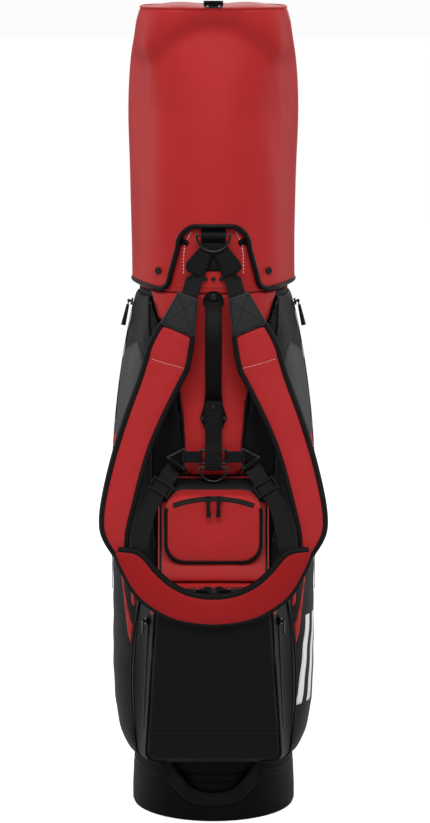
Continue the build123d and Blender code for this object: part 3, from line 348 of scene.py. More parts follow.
# ---------------------------------------------------------------- top cuff
# The rim of the bag: red synthetic leather padded over a moulded ring, rolled over
# at the top and closed by a double-stitched seam at its foot.
red_hide = finish(
    "red_hide", grain, (0.385, 0.018, 0.019), 0.92, 1100, 0.12, 0.46,
    Specular_IOR_Level=0.13, Sheen_Weight=0.08, Sheen_Roughness=0.15
)
thread = finish("pale_thread", weave, (0.75, 0.68, 0.67), 0.7, 900, 0.3, 0.7)
red_thread = finish("red_thread", weave, (0.3, 0.02, 0.022), 0.7, 900, 0.3, 0.6)
CUFF_TOP = 946.0
CUFF_FOOT = 843.0
CUFF_RX = 118.0
CUFF_RY = 124.0


def cuff_ring(turn, level):
    """Level is a place along the cuff's section: up the outside, over the rim, down inside."""
    inset, z = level
    angle = 2 * pi * turn
    return Vector(((CUFF_RX - inset) * sin(angle), -(CUFF_RY - inset) * cos(angle), z))


section = [(0.9, CUFF_FOOT + 0.2), (0.1, CUFF_FOOT + 2), (0.0, CUFF_FOOT + 5), (0.5, CUFF_FOOT + 6.4)]
section += [(0.0, CUFF_FOOT + 7.8), (-0.1, CUFF_FOOT + 12), (0.5, CUFF_FOOT + 13.4), (0.0, CUFF_FOOT + 14.8)]
section += [(0.0, CUFF_FOOT + 16 + i * (CUFF_TOP - CUFF_FOOT - 20) / 8) for i in range(9)]
section += [(2.5 - 2.5 * cos(pi * i / 8), CUFF_TOP - 3 + 3 * sin(pi * i / 8)) for i in range(9)]
section += [(5.0, CUFF_FOOT + 60), (5.0, CUFF_FOOT + 20), (5.0, CUFF_FOOT + 0.5)]
bm = bmesh.new()
wrap(bm, 128, section, cuff_ring)
cuff = piece("padded_cuff", bm, [red_hide])
stands(cuff, "red_leatherette", "top_cuff")


def skin_of(obj):
    """A search tree of a piece's finished surface, in millimetres."""
    evaluated = obj.evaluated_get(bpy.context.evaluated_depsgraph_get())
    mesh = evaluated.to_mesh()
    points = [vert.co / MM for vert in mesh.vertices]
    faces = [tuple(polygon.vertices) for polygon in mesh.polygons]
    evaluated.to_mesh_clear()
    return BVHTree.FromPolygons(points, faces)


def front_of(skin, x, z, lift=0.0):
    """The point of a skin seen from the front at x and z, lifted off it, and its normal."""
    hit, normal, _, _ = skin.ray_cast(Vector((x, -400, z)), Vector((0, 1, 0)))
    if hit is None:
        hit, normal, _, _ = skin.find_nearest(Vector((x, -150, z)))
    if normal.y > 0:
        normal = -normal
    return hit + normal * lift, normal


def spread(points, pitch):
    """Points at an even pitch along straight runs between the given ones."""
    out = []
    carry = 0.0
    for a, b in zip(points, points[1:]):
        a, b = Vector(a), Vector(b)
        length = (b - a).length
        while carry <= length:
            out.append(a + (b - a) * (carry / length))
            carry += pitch
        carry -= length
    return out


def curve_through(points, steps=8):
    """A smooth line through given points."""
    pts = [Vector(p) for p in points]
    pts = [pts[0] * 2 - pts[1]] + pts + [pts[-1] * 2 - pts[-2]]
    out = []
    for a, b, c, d in zip(pts, pts[1:], pts[2:], pts[3:]):
        for i in range(steps):
            t = i / steps
            out.append(0.5 * (2 * b + (c - a) * t + (2 * a - 5 * b + 4 * c - d) * t**2
                              + (3 * b - a - 3 * c + d) * t**3))
    return out + [pts[-2]]


def sew(name, lines, skin, material, body, pitch=4.2, dash=2.6, gauge=0.35, face=front_of):
    """Rows of stitches laid along lines in X and Z on a skin."""
    bm = bmesh.new()
    for line in lines:
        spots = [face(skin, p.x, p.y, gauge * 0.5) for p in spread(line, pitch)]
        for (a, normal), (b, _) in zip(spots, spots[1:]):
            along = (b - a).normalized()
            across = along.cross(normal).normalized()
            turned = Matrix((along, across, along.cross(across))).transposed().to_4x4()
            verts = bmesh.ops.create_cube(bm, size=1)["verts"]
            bmesh.ops.scale(bm, vec=(dash, gauge * 2, gauge), verts=verts)
            bmesh.ops.transform(bm, matrix=Matrix.Translation((a + b) / 2) @ turned, verts=verts)
    return piece(name, bm, [material], body)


cuff_skin = skin_of(cuff)
tab_edge = curve_through([(34, 938), (41, 925), (45.5, 905), (46, 870)])
cuff_rows = [tab_edge, [Vector((-p.x, p.y)) for p in tab_edge]]
cuff_stitches = sew("cuff_tab_stitches", cuff_rows, cuff_skin, thread, "bag", 5.2, 3.0, 0.5)
seam_rows = [[(x, CUFF_FOOT + h) for x in range(-96, 97, 4)] for h in (3.6, 10.2)]
cuff_seam = sew("cuff_seam_stitches", seam_rows, cuff_skin, red_thread, "bag", 4.0, 2.6, 0.35)

# ---------------------------------------------------------------- side pockets
# A long crescent of black synthetic leather down each side of the tube, stuffed
# lightly so that it bows out, with a grey satin panel and a piped front edge.
black_hide = finish("black_hide", grain, (0.0042, 0.0042, 0.0044), 0.8, 1000, 0.15, 0.4, Specular_IOR_Level=0.1)
satin = finish("grey_satin", weave, (0.03, 0.03, 0.033), 0.85, 700, 0.25, 0.42, Specular_IOR_Level=0.2)
cord_black = finish("black_piping", grain, (0.004, 0.004, 0.004), 0.8, 1600, 0.1, 0.36, Specular_IOR_Level=0.12)


def cad_copy(node, pitch):
    """A merged and evenly remeshed copy of a CAD solid, as a bmesh in millimetres."""
    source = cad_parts[node]
    bm = bmesh.new()
    bm.from_mesh(source.data)
    bmesh.ops.scale(bm, vec=(1 / MM, 1 / MM, 1 / MM), verts=bm.verts)
    bmesh.ops.remove_doubles(bm, verts=bm.verts, dist=0.002)
    rough_mesh = bpy.data.meshes.new(node + "_rough")
    bm.to_mesh(rough_mesh)
    bm.free()
    rough = bpy.data.objects.new(node + "_rough", rough_mesh)
    bpy.context.collection.objects.link(rough)
    remesh = rough.modifiers.new("remesh", "REMESH")
    remesh.mode = "VOXEL"
    remesh.voxel_size = pitch
    even = bpy.data.meshes.new_from_object(rough.evaluated_get(bpy.context.evaluated_depsgraph_get()))
    bpy.data.objects.remove(rough)
    bm = bmesh.new()
    bm.from_mesh(even)
    bpy.data.meshes.remove(even)
    bpy.data.meshes.remove(rough_mesh)
    for _ in range(3):
        bmesh.ops.smooth_vert(bm, verts=bm.verts, factor=0.5, use_axis_x=True, use_axis_y=True, use_axis_z=True)
    bm.normal_update()
    return bm


SIDES = ((1, "right"), (-1, "left"))
pockets = {}
for side, name in SIDES:
    bm = cad_copy(f"{name}_side_pocket", 4.0)
    for vert in bm.verts:
        ripple = 0.5 * sin(vert.co.z / 19 + side) * sin(vert.co.y / 23) + 0.35 * sin(vert.co.z / 8.5 + vert.co.y / 31)
        vert.co += vert.normal * ripple
    pocket = piece(f"{name}_side_bag", bm, [black_hide])
    stands(pocket, "black_leatherette", f"{name}_side_pocket")
    pockets[name] = pocket


def side_of(side):
    """A face finder for skins seen from the bag's right (+1) or left (-1): a is Y and b is Z."""
    def face(skin, y, z, lift=0.0):
        hit, normal, _, _ = skin.ray_cast(Vector((side * 400, y, z)), Vector((-side, 0, 0)))
        if hit is None:
            hit, normal, _, _ = skin.find_nearest(Vector((side * 150, y, z)))
        if normal.x * side < 0:
            normal = -normal
        return hit + normal * lift, normal
    return face


def pipe(name, points, radius, material, body="bag", closed=False):
    """A round cord sewn along a seam, through points in millimetres."""
    line = bpy.data.curves.new(name, "CURVE")
    line.dimensions = "3D"
    line.bevel_depth = radius * MM
    line.bevel_resolution = 2
    line.use_fill_caps = True
    spline = line.splines.new("POLY")
    spline.points.add(len(points) - 1)
    for spot, point in zip(spline.points, points):
        spot.co = (*(point * MM), 1)
    spline.use_cyclic_u = closed
    line.materials.append(material)
    obj = bpy.data.objects.new(name, line)
    bpy.context.collection.objects.link(obj)
    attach(obj, body)
    return obj


def patch(name, outline, skin, materials, lift=0.6, thick=0.9, pitch=5.0, face=front_of, crown=None):
    """A cloth panel cut to an outline, laid on a skin and given a thickness."""
    bm = bmesh.new()
    verts = [bm.verts.new((a, 0, b)) for a, b in outline]
    bm.faces.new(verts)
    low = [min(p[i] for p in outline) for i in (0, 1)]
    high = [max(p[i] for p in outline) for i in (0, 1)]
    for axis, normal in ((0, (1, 0, 0)), (1, (0, 0, 1))):
        for i in range(1, int((high[axis] - low[axis]) / pitch) + 1):
            at = [0, 0, 0]
            at[axis * 2] = low[axis] + i * pitch
            geom = list(bm.verts) + list(bm.edges) + list(bm.faces)
            bmesh.ops.bisect_plane(bm, geom=geom, plane_co=at, plane_no=normal, dist=0.01)
    rim = {vert for vert in bm.verts if any(edge.is_boundary for edge in vert.link_edges)}
    facing = {}
    for vert in bm.verts:
        rise = crown(vert.co.x, vert.co.z) if crown else 0.0
        vert.co, facing[vert] = face(skin, vert.co.x, vert.co.z, lift + rise - (0.4 * thick if vert in rim else 0.0))
    bm.normal_update()
    if sum(panel.normal.dot(facing[panel.verts[0]]) for panel in bm.faces) < 0:
        bmesh.ops.reverse_faces(bm, faces=bm.faces)
    return soften(piece(name, bm, materials, turn_out=False), thick + lift)


for side, name in SIDES:
    skin = skin_of(pockets[name])
    look = side_of(side)
    edge = curve_through([(-78, 822), (-92, 760), (-99, 690), (-101, 610), (-102, 520), (-104, 440)])
    front_edge = [look(skin, p.x, p.y, 0.6)[0] for p in edge]
    seam = pipe(f"{name}_side_piping", front_edge, 1.7, cord_black)
    leaf = [(-66, 760), (-20, 738), (2, 700), (4, 640), (-28, 602), (-62, 640), (-86, 696), (-82, 738), (-66, 760)]
    outline = [(p.x, p.y) for p in curve_through(leaf, 4)[:-1]]
    panel = patch(f"{name}_satin_panel", outline, skin, [satin], 0.5, 0.7, 6.0, look)
    rows = [outline + [outline[0]]]
    hem = sew(f"{name}_satin_stitches", rows, skin_of(panel), cord_black, "bag", 5.0, 3.2, 0.3, look)

    # Two small blades and a long swoosh of red let into the black, as trim.
    for label, outline, finder in (
        ("blade", [(144, 392), (147, 392), (144, 366), (140.5, 331), (136, 293), (131.5, 277), (127.5, 308),
                   (131, 313), (137, 339), (141.5, 366)], front_of),
        ("small_blade", [(129, 376), (131, 376), (130, 345), (126, 338), (123, 345), (127, 362)], front_of),
        ("swoosh", [(-30, 668), (-18, 650), (-12, 590), (-22, 530), (-42, 470), (-62, 405), (-72, 400), (-62, 470),
                    (-44, 540), (-34, 600)], look),
    ):
        if finder is front_of:
            outline = [(side * a, b) for a, b in outline]
        blade = patch(f"{name}_red_{label}", outline, skin, [red_hide], 0.4, 0.5, 4.0, finder)

white_film = finish("white_film", weave, (0.8, 0.8, 0.8), 0.95, 500, 0.1, 0.35)
for i in range(3):
    foot = -74 + 26 * i
    bar = [(foot, 175), (foot + 13, 175), (foot + 33, 318), (foot + 20, 318)]
    stripe = patch(
        f"white_stripe_{i + 1}", bar, skin_of(pockets["right"]), [white_film], 0.3, 0.4, 5.0, side_of(1)
    )

# ---------------------------------------------------------------- spine panel
# A red panel sewn down the middle of the tube's front under the handle, with a
# black piped seam down each side.
SPINE_EDGE = [(47, 560), (46, 612), (54, 687), (70, 745), (84, 793), (98, 842)]
spine_side = curve_through([(x, z) for x, z in SPINE_EDGE], 5)
outline = [(p.x, p.y) for p in spine_side] + [(-p.x, p.y) for p in reversed(spine_side)]
spine = patch(
    "spine_cloth", outline, skin_of(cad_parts["spine_panel"]), [red_hide], 0.3, 2.0, 6.0,
    crown=lambda x, z: 0.5 * cos(x / 34) + 0.25 * sin(z / 17 + x / 40)
)
stands(spine, "red_leatherette", "spine_panel")
spine_skin = skin_of(spine)
for side, name in SIDES:
    points = [front_of(spine_skin, side * (p.x - 0.5), p.y, 0.4)[0] for p in spine_side if p.y < 806]
    seam = pipe(f"{name}_spine_piping", points, 1.9, cord_black)
spine_rows = [[(side * (p.x - 5), p.y) for p in spine_side] for side in (-1, 1)]
sew("spine_stitches", spine_rows, spine_skin, red_thread, "bag", 4.2, 2.8, 0.3)

# ---------------------------------------------------------------- mid pocket
# A bulging red pocket between the valuables pocket and the ball pocket, with a
# black arched band over its top edge.


def loop(low, high, foot, head, corner, arc=6, edge=12, foot_corner=None):
    """A trapezoid with round corners, anticlockwise from the front: a list of (x, z)."""
    foot_corner = foot_corner or corner
    points = []
    centres = [(foot, low, -90), (head, high, 0), (-head, high, 90), (-foot, low, 180)]
    for i, (x, z, start) in enumerate(centres):
        bend = foot_corner if z == low else corner
        cx = x - bend * (1 if x > 0 else -1)
        cz = z + (bend if z == low else -bend)
        for j in range(arc + 1):
            angle = radians(start + 90 * j / arc)
            points.append(Vector((cx + bend * cos(angle), cz + bend * sin(angle))))
        x2, z2, start2 = centres[(i + 1) % 4]
        bend = foot_corner if z2 == low else corner
        nx = x2 - bend * (1 if x2 > 0 else -1) + bend * cos(radians(start2))
        nz = z2 + (bend if z2 == low else -bend) + bend * sin(radians(start2))
        last = points[-1]
        for j in range(1, edge):
            points.append(last.lerp(Vector((nx, nz)), j / edge))
    return points


def stack(bm, sections):
    """Rings of (loop, depth) from back to front, closed; depth is a number or a function of x and z."""
    count = len(sections[0][0])

    def place(turn, section):
        x, z = section[0][round(turn * count) % count]
        deep = section[1](x, z) if callable(section[1]) else section[1]
        return Vector((x, deep, z))
    cap(bm, wrap(bm, count, sections, place)[-1])


def shrunk(ring, share, centre):
    """A loop drawn in towards a centre, for the rings across a crowned front."""
    return [Vector(centre).lerp(p, share) for p in ring]


MID_FRONT = [(403.3, -198), (412, -195), (450, -175), (500, -160), (530, -150), (546, -140), (556, -127)]


def along(table, at):
    """Reads a table of pairs at a value between its entries."""
    for (a, b), (c, d) in zip(table, table[1:]):
        if at <= c:
            return b + (d - b) * max(0.0, (at - a) / (c - a))
    return table[-1][1]


def mid_face(rise):
    """The mid pocket's sloping front, raised in a crown."""
    return lambda x, z: along(MID_FRONT, z) - rise * max(0.0, cos(x / 86 * pi / 2)) ** 0.7


mid_loop = loop(404, 555, 86, 86, 38, foot_corner=9)
middle = (0, 478)
bm = bmesh.new()
sections = [(mid_loop, -95), (mid_loop, lambda x, z: along(MID_FRONT, z) * 0.6 - 38)]
sections += [(mid_loop, lambda x, z: along(MID_FRONT, z) + 7), (shrunk(mid_loop, 0.985, middle), mid_face(-2.5))]
sections += [(shrunk(mid_loop, share, middle), mid_face(rise)) for share, rise in (
    (0.95, 0), (0.9, 1.5), (0.8, 3), (0.65, 4), (0.45, 4.5), (0.2, 4.5))]
stack(bm, sections)
for vert in bm.verts:
    if vert.co.y < -120:
        vert.co.y += 0.8 * sin(vert.co.x / 13 + vert.co.z / 29) * exp(-((vert.co.z - 425) / 30) ** 2)
mid = soften(piece("mid_bag", bm, [red_hide]), levels=1)
stands(mid, "red_leatherette", "mid_pocket")
mid_skin = skin_of(mid)
arch = [(x, 517 + sqrt(37**2 - max(0, abs(x) - 48) ** 2)) for x in range(-82, 83, 4)]
arch += [(x, 528 - x * x / 900) for x in range(82, -83, -4)]
trim = patch("mid_arch_trim", arch, mid_skin, [black_hide], 1.2, 1.6, 5.0)
for side, name in SIDES:
    edge = [front_of(mid_skin, side * 82, z, 0.5)[0] for z in range(408, 520, 6)]
    pipe(f"{name}_mid_piping", edge, 1.8, cord_black)

# ---------------------------------------------------------------- valuables pocket
# A boxy red pocket for small things, closed by an arched zip across its front,
# bound in black down both sides and under its foot.
VAL_FRONT = -194.0
VAL_ZIP_R = 179.0
VAL_ZIP_CENTRE = 356.0


def on_arch(x, radius=VAL_ZIP_R):
    return VAL_ZIP_CENTRE + sqrt(radius * radius - x * x)


val_loop = loop(435, 540, 73.5, 73.5, 28)
middle = (0, 486)
bm = bmesh.new()
sections = [(val_loop, -138), (val_loop, -165), (val_loop, -186), (shrunk(val_loop, 0.99, middle), -190.5)]
sections += [(shrunk(val_loop, share, middle), VAL_FRONT - rise) for share, rise in (
    (0.965, -0.8), (0.93, 0.2), (0.86, 0.3), (0.75, 0.35), (0.6, 0.4), (0.4, 0.5), (0.2, 0.5))]
stack(bm, sections)
for vert in bm.verts:
    if vert.co.y < -186:
        low = max(0.0, (505 - vert.co.z) / 70)
        vert.co.y -= 2.4 * max(0.0, cos(vert.co.x / 74 * pi / 2)) * sin(min(1.0, low) * pi)
valuables = soften(piece("valuables_bag", bm, [red_hide]), levels=2)
stands(valuables, "red_leatherette", "valuables_pocket")
val_skin = skin_of(valuables)
binding = shrunk(val_loop, 0.985, middle)
low_side = sorted((p for p in binding if p.y < 521), key=lambda p: atan2(p.x, 486 - p.y))
u_line = [Vector((p.x, VAL_FRONT + 4.5, p.y)) for p in low_side]
pipe("valuables_binding", u_line, 4.6, cord_black)
inner = [(p.x, p.y) for p in shrunk(low_side, 0.88, middle)]
sew("valuables_stitches", [inner], val_skin, red_thread, "bag", 4.2, 2.8, 0.3)

# ---------------------------------------------------------------- ball pocket
# The largest pocket: a smooth black front panel over a curved foot panel, red along
# its top, with a bellows gusset at each side, all joined by fine piped seams.
BALL_TOP = 403.0


def gusset(x, z, out):
    """Lets the gusset's rear seam belly out between its foot and head."""
    return x + (1 if x > 0 else -1) * out * sin(pi * min(1.0, max(0.0, (z - 100) / 305)))


rings = []
for y, foot, head, low, high, corner, out in (
    (-60, 126, 121, 104, BALL_TOP, 16, 3), (-120, 120, 112, 106, BALL_TOP, 16, 12),
    (-140, 118, 108, 107, BALL_TOP, 16, 16), (-148, 116.5, 106.5, 108, BALL_TOP, 16, 10),
    (-162, 113.5, 102, 110.5, BALL_TOP, 16, 1.0), (-180, 110, 96.5, 114, 402.5, 16, 0),
    (-200, 106, 90, 118, 402, 16, 0), (-206, 103, 87, 123, 397, 16, 0),
):
    ring = loop(low, high, foot, head, corner)
    rings.append(([Vector((gusset(p.x, p.y, out), p.y)) for p in ring], y))
front = loop(128, 391, 99.5, 83.5, 16)
middle = (0, 262)
bm = bmesh.new()
rings.append((front, -210.3))
rings += [(shrunk(front, share, middle), -211 - rise) for share, rise in (
    (0.97, 0.2), (0.9, 1.4), (0.8, 2.6), (0.65, 4), (0.45, 5), (0.2, 5.5))]
stack(bm, rings)
for vert in bm.verts:
    if vert.co.y < -195:
        vert.co.y += 2.2 * exp(-((vert.co.z - 166) / 9) ** 2)
        vert.co.y += 0.7 * sin(vert.co.z / 21 + vert.co.x / 47) * min(1.0, abs(vert.co.x) / 60)
for face in bm.faces:
    middle = face.calc_center_median()
    if middle.z > 397 and abs(middle.x) < 84:
        face.material_index = 1
ball = soften(piece("ball_bag", bm, [black_hide, red_hide]), levels=1)
stands(ball, "black_leatherette", "ball_pocket")
ball_skin = skin_of(ball)
for side, name in SIDES:
    edge = [Vector((p.x, -203.5, p.y)) for p in loop(120, 400, 105.5, 89.5, 16) if p.x * side > 60 and p.y < 392]
    edge.sort(key=lambda p: p.z + (0 if abs(p.x) > 95 else -30))
    pipe(f"{name}_front_piping", edge, 1.5, cord_black)
    rear = [Vector((gusset(p.x, p.y, 16), -142, p.y)) for p in loop(107, BALL_TOP, 118, 108, 16)]
    rear = sorted((p for p in rear if p.x * side > 90 and p.z < 398), key=lambda p: p.z)
    pipe(f"{name}_gusset_piping", rear, 1.7, cord_black)
seam = [front_of(ball_skin, x, 166 + 3 * (1 - (x / 104) ** 6), 0.6)[0] for x in range(-102, 103, 6)]
pipe("foot_panel_piping", seam, 1.4, cord_black)

# ---------------------------------------------------------------- zips
# Coil zips on woven tape, sewn over the pockets' mouths: arched on the valuables
# pocket, straight on the ball pocket and its gussets, and bowed down the sides.
tape_cloth = finish("zip_tape", weave, (0.005, 0.005, 0.0052), 0.8, 600, 0.5, 0.6, Specular_IOR_Level=0.2)
coil = finish("zip_coil", grain, (0.012, 0.012, 0.012), 0.8, 2000, 0.05, 0.3)


def strap(name, spots, width, thick, material, body="bag", ridge=0.35):
    """A woven strap swept through (centre, across, out) spots, with raised selvedges."""
    half, deep = width / 2, thick / 2
    ring = [(-half, -deep * 0.5), (-half, deep * 0.5), (-half + 0.6, deep), (-half + 2.4, deep - ridge * deep)]
    ring += [(0, deep - ridge * deep * 0.6)] + [(-a, b) for a, b in reversed(ring)]
    ring += [(half - 0.6, -deep), (0, -deep), (-half + 0.6, -deep)]
    count = len(ring)
    bm = bmesh.new()

    def place(turn, spot):
        a, b = ring[round(turn * count) % count]
        centre, across, out = spot
        return centre + across * a + out * b
    rings = wrap(bm, count, spots, place)
    cap(bm, rings[0])
    cap(bm, rings[-1])
    return piece(name, bm, [material], body)


def laid(skin, line, sink=0.0, face=front_of):
    """Spots for a strap lying on a skin, along a line of (a, b) points."""
    found = [face(skin, p[0], p[1], -sink) for p in line]
    spots = []
    for i, (centre, normal) in enumerate(found):
        run = found[min(i + 1, len(found) - 1)][0] - found[max(i - 1, 0)][0]
        across = normal.cross(run).normalized()
        spots.append((centre, across, run.cross(across).normalized()))
    return spots


def lay_zip(name, skin, line, face=front_of, width=7.6, lift=0.1, pitch=2.0):
    """A zip tape with its coil's teeth, laid along a line."""
    spots = laid(skin, line, -lift, face)
    tape = strap(f"{name}_tape", spots, width, 0.8, tape_cloth)
    stands(tape, "zip_tape", "zip_tapes")
    bm = bmesh.new()
    for (a, across, out), (b, _, _) in zip(spots, spots[1:]):
        run = b - a
        steps = max(1, round(run.length / pitch))
        turned = Matrix((run.normalized(), across, out)).transposed().to_4x4()
        for i in range(steps):
            tooth = bmesh.ops.create_cube(bm, size=1)["verts"]
            bmesh.ops.scale(bm, vec=(pitch * 0.55, 3.0, 0.7), verts=tooth)
            spot = Matrix.Translation(a + run * ((i + 0.5) / steps) + out * 0.55)
            bmesh.ops.transform(bm, matrix=spot @ turned, verts=tooth)
    teeth = piece(f"{name}_teeth", bm, [coil])


lay_zip("valuables_zip", val_skin, [(x, on_arch(x)) for x in range(-62, 63, 4)])
lip = [[(x, on_arch(x, 171.5)) for x in range(-60, 61, 4)]]
sew("valuables_lip_stitches", lip, val_skin, red_thread, "bag", 3.8, 2.4, 0.3)
tape_skin = skin_of(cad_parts["zip_tapes"])
lay_zip("ball_zip", tape_skin, [(x, 395) for x in range(-74, 75, 6)], lift=-0.4)
for side, name in SIDES:
    look = side_of(side)
    lay_zip(f"{name}_side_zip", tape_skin, [(-10, z) for z in range(352, 824, 8)], look, 7.0, -0.4, 2.4)
    lay_zip(f"{name}_gusset_zip", tape_skin, [(-175, z) for z in range(167, 349, 6)], look, 7.0, -0.4)
    dot = patch(f"{name}_gusset_tab", [(side * 92, 352), (side * 97, 352), (side * 97, 357), (side * 92, 357)],
                ball_skin, [red_hide], 0.8, 1.2, 2.0)

# ---------------------------------------------------------------- zip sliders and pulls
# Painted metal sliders; the valuables and side zips have rubber-gripped cord
# pulls, and the ball pocket's have short flat tabs with red tips.
painted = finish("painted_metal", grain, (0.013, 0.013, 0.014), 0.85, 1800, 0.05, 0.22, Metallic=0.6)
for side, name in SIDES:
    coat(painted, f"{name}_valuables_slider", f"{name}_side_slider", f"{name}_gusset_slider", f"{name}_ball_slider")
    coat(rubber, f"{name}_valuables_pull", f"{name}_side_pull")
    low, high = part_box(f"{name}_ball_slider")
    end = high.x if side > 0 else low.x
    centre = Vector((end / MM - side * 3, (low.y + 0.0011) / MM + 2.5, (low.z + high.z) / 2 / MM))
    bm = bmesh.new()
    tip = bmesh.ops.create_cube(bm, size=1)["verts"]
    bmesh.ops.scale(bm, vec=(7, 3.2, 4.8), verts=tip)
    bmesh.ops.translate(bm, vec=centre, verts=tip)
    bmesh.ops.bevel(bm, geom=list(bm.edges), offset=1.1, segments=3, profile=0.5, affect="EDGES", material=-1)
    tip = piece(f"{name}_ball_pull_tip", bm, [red_hide], f"{name}_ball_slider")

# ---------------------------------------------------------------- handle and spine hardware
# A moulded arch handle with rimmed edges, screwed through a round boss at its top
# and an eared bracket at its foot, and bent-wire rings on folded webbing.
webbing = finish("black_webbing", weave, (0.0045, 0.0045, 0.0047), 0.8, 230, 0.8, 0.55, Specular_IOR_Level=0.14)
coated = finish("coated_steel", grain, (0.014, 0.014, 0.015), 0.85, 1500, 0.06, 0.2, Metallic=0.5)
coat(moulding, "carry_handle", "handle_mounts", "left_triglide", "right_triglide")
coat(coated, "harness_rings", "spine_d_ring", "cuff_d_ring", "rivets_and_studs")
handle_skin = skin_of(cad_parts["carry_handle"])
for side, name in SIDES:
    rim = [front_of(handle_skin, side * 11.2, z, 0.1)[0] for z in range(686, 829, 4)]
    pipe(f"{name}_handle_rim", rim, 1.3, moulding)


def spread_path(points, steps=6):
    """Spots for a strap whose line stays in a plane of constant X, through (y, z) points."""
    line = curve_through([(0, y, z) for y, z in points], steps)
    spots = []
    for i, centre in enumerate(line):
        run = line[min(i + 1, len(line) - 1)] - line[max(i - 1, 0)]
        across = Vector((1, 0, 0))
        spots.append((centre, across, run.cross(across).normalized()))
    return spots


folded = [(-134.8, 677), (-135.0, 640), (-135.2, 612), (-138.5, 606), (-143.4, 601), (-143.6, 590), (-143.4, 578)]
folded += [(-142.6, 571.5), (-139.8, 569.5), (-137.6, 573), (-137.2, 582), (-137.2, 596), (-136.6, 604)]
spots = [(c + out * (0.35 * sin(c.z * 1.4) if c.z < 606 else 0.0), across, out)
         for c, across, out in spread_path(folded, 9)]
spine_web = strap("spine_strap_webbing", spots, 26.0, 2.2, webbing)
stands(spine_web, "black_webbing", "spine_strap")
rows = [[(x, 610), (x, 676)] for x in (-10.5, 10.5)] + [[(-10.5, 609), (10.5, 609)], [(-10.5, 615), (10.5, 615)]]
sew("spine_strap_stitches", rows, skin_of(spine_web), cord_black, "bag", 3.6, 2.6, 0.3)
for side, name in SIDES:
    spots = [(Vector((side * x, -140 - lift, 590.5)), Vector((0, 0, side)), Vector((0, -1, 0)))
             for x, lift in ((20.5, 2.6), (23, 3.2), (27, 1.6), (33, 1.2), (39, 1.6), (43, 3.2), (45.5, 2.6))]
    short = strap(f"{name}_side_strap", spots, 18.0, 1.8, webbing)
    stands(short, "black_webbing", "side_webbing")
    for label, points in (
        ("ring_roll", [(20.5, 582), (20.5, 599)]), ("triangle_roll", [(45.6, 582), (45.2, 599)]),
        ("slant_roll", [(50, 574.2), (67, 587.6)]),
    ):
        ends = [Vector((side * x, -140, z)) for x, z in points]
        roll = pipe(f"{name}_{label}", ends, 3.5, webbing)

# ---------------------------------------------------------------- cuff ring's roll
# A rolled length of webbing, sewn to the cuff's front, that the D ring turns in.
roll = pipe("cuff_ring_roll", [Vector((x, -134.3, 934.5)) for x in (-19, 19)], 5.3, webbing)
stands(roll, "black_webbing", "cuff_ring_loop")
tab = patch("cuff_ring_tab", [(-19, 919), (19, 919), (19, 943), (-19, 943)], cuff_skin, [webbing], 1.6, 1.6)

# ---------------------------------------------------------------- harness yoke
# Doubled webbing sewn into an upside-down V over a backing, between two moulded
# clips; each arm carries a strap down to a cross-stitched patch.
skin = skin_of(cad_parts["harness_yoke"])
arm = [(20, 923), (22, 916), (32, 904.5), (42, 893), (44.5, 887), (43.5, 881), (38, 876.5), (24, 870)]
arm += [(17, 867.5), (13, 869.5), (6, 889), (0, 903)]
outline = arm + [(-x, z) for x, z in reversed(arm[:-1])]
backing = [(-13, 878), (13, 878), (13, 922), (-13, 922)]
patch("yoke_backing", backing, cuff_skin, [webbing], 2.2, 2.0, 5.0)
yoke = patch("yoke_webbing", outline, skin, [webbing], 0.4, 2.8, 4.0, crown=lambda x, z: 0.4 * cos(x / 6))
stands(yoke, "black_webbing", "harness_yoke")
yoke_skin = skin_of(yoke)
rows = []
for side in (-1, 1):
    rows.append([(side * x, z) for x, z in ((18, 919), (20, 911), (39, 889), (39, 883))])
    rows.append([(side * x, z) for x, z in ((4, 903), (18, 872), (36, 880))])
sew("yoke_stitches", rows, yoke_skin, cord_black, "bag", 3.6, 2.6, 0.3)
for side, name in SIDES:
    clip = [(side * x, z) for x, z in ((37, 922), (41, 927), (53, 928), (56, 922), (50, 916), (45, 919), (41, 915))]
    patch(f"{name}_cuff_clip", clip, cuff_skin, [moulding], 2.2, 2.4, 3.0)
patch_hide = finish("grey_hide", grain, (0.019, 0.02, 0.021), 0.85, 1200, 0.12, 0.45, Specular_IOR_Level=0.18)
for side, name in SIDES:
    skin = skin_of(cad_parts["upper_webbing"])
    line = [(side * (26.5 + 14 * i / 12), 878 - 50 * i / 12) for i in range(13)]
    upper = strap(f"{name}_upper_strap", laid(skin, line, 0.9), 26.0, 2.0, webbing)
    stands(upper, "black_webbing", "upper_webbing")
    skin = skin_of(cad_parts["cross_patches"])
    corners = [(side * x, z) for x, z in ((23, 838), (54, 850), (83, 799.5), (29, 778))]
    cross = patch(
        f"{name}_cross_patch", corners, skin, [patch_hide], 0.5, 2.6, 5.0,
        crown=lambda x, z: 0.9 * exp(-((z - 815) / 22) ** 2)
    )
    stands(cross, "black_leatherette", "cross_patches")
    middle = Vector((sum(p[0] for p in corners) / 4, sum(p[1] for p in corners) / 4))
    inset = shrunk([Vector(p) for p in corners], 0.86, middle)
    rows = [[tuple(a), tuple(b)] for a, b in zip(inset, inset[1:] + inset[:1])]
    rows += [[tuple(inset[0]), tuple(inset[2])], [tuple(inset[1]), tuple(inset[3])]]
    stitch = sew(f"{name}_cross_stitches", rows, skin_of(cross), cord_black, "bag", 3.4, 2.6, 0.35)

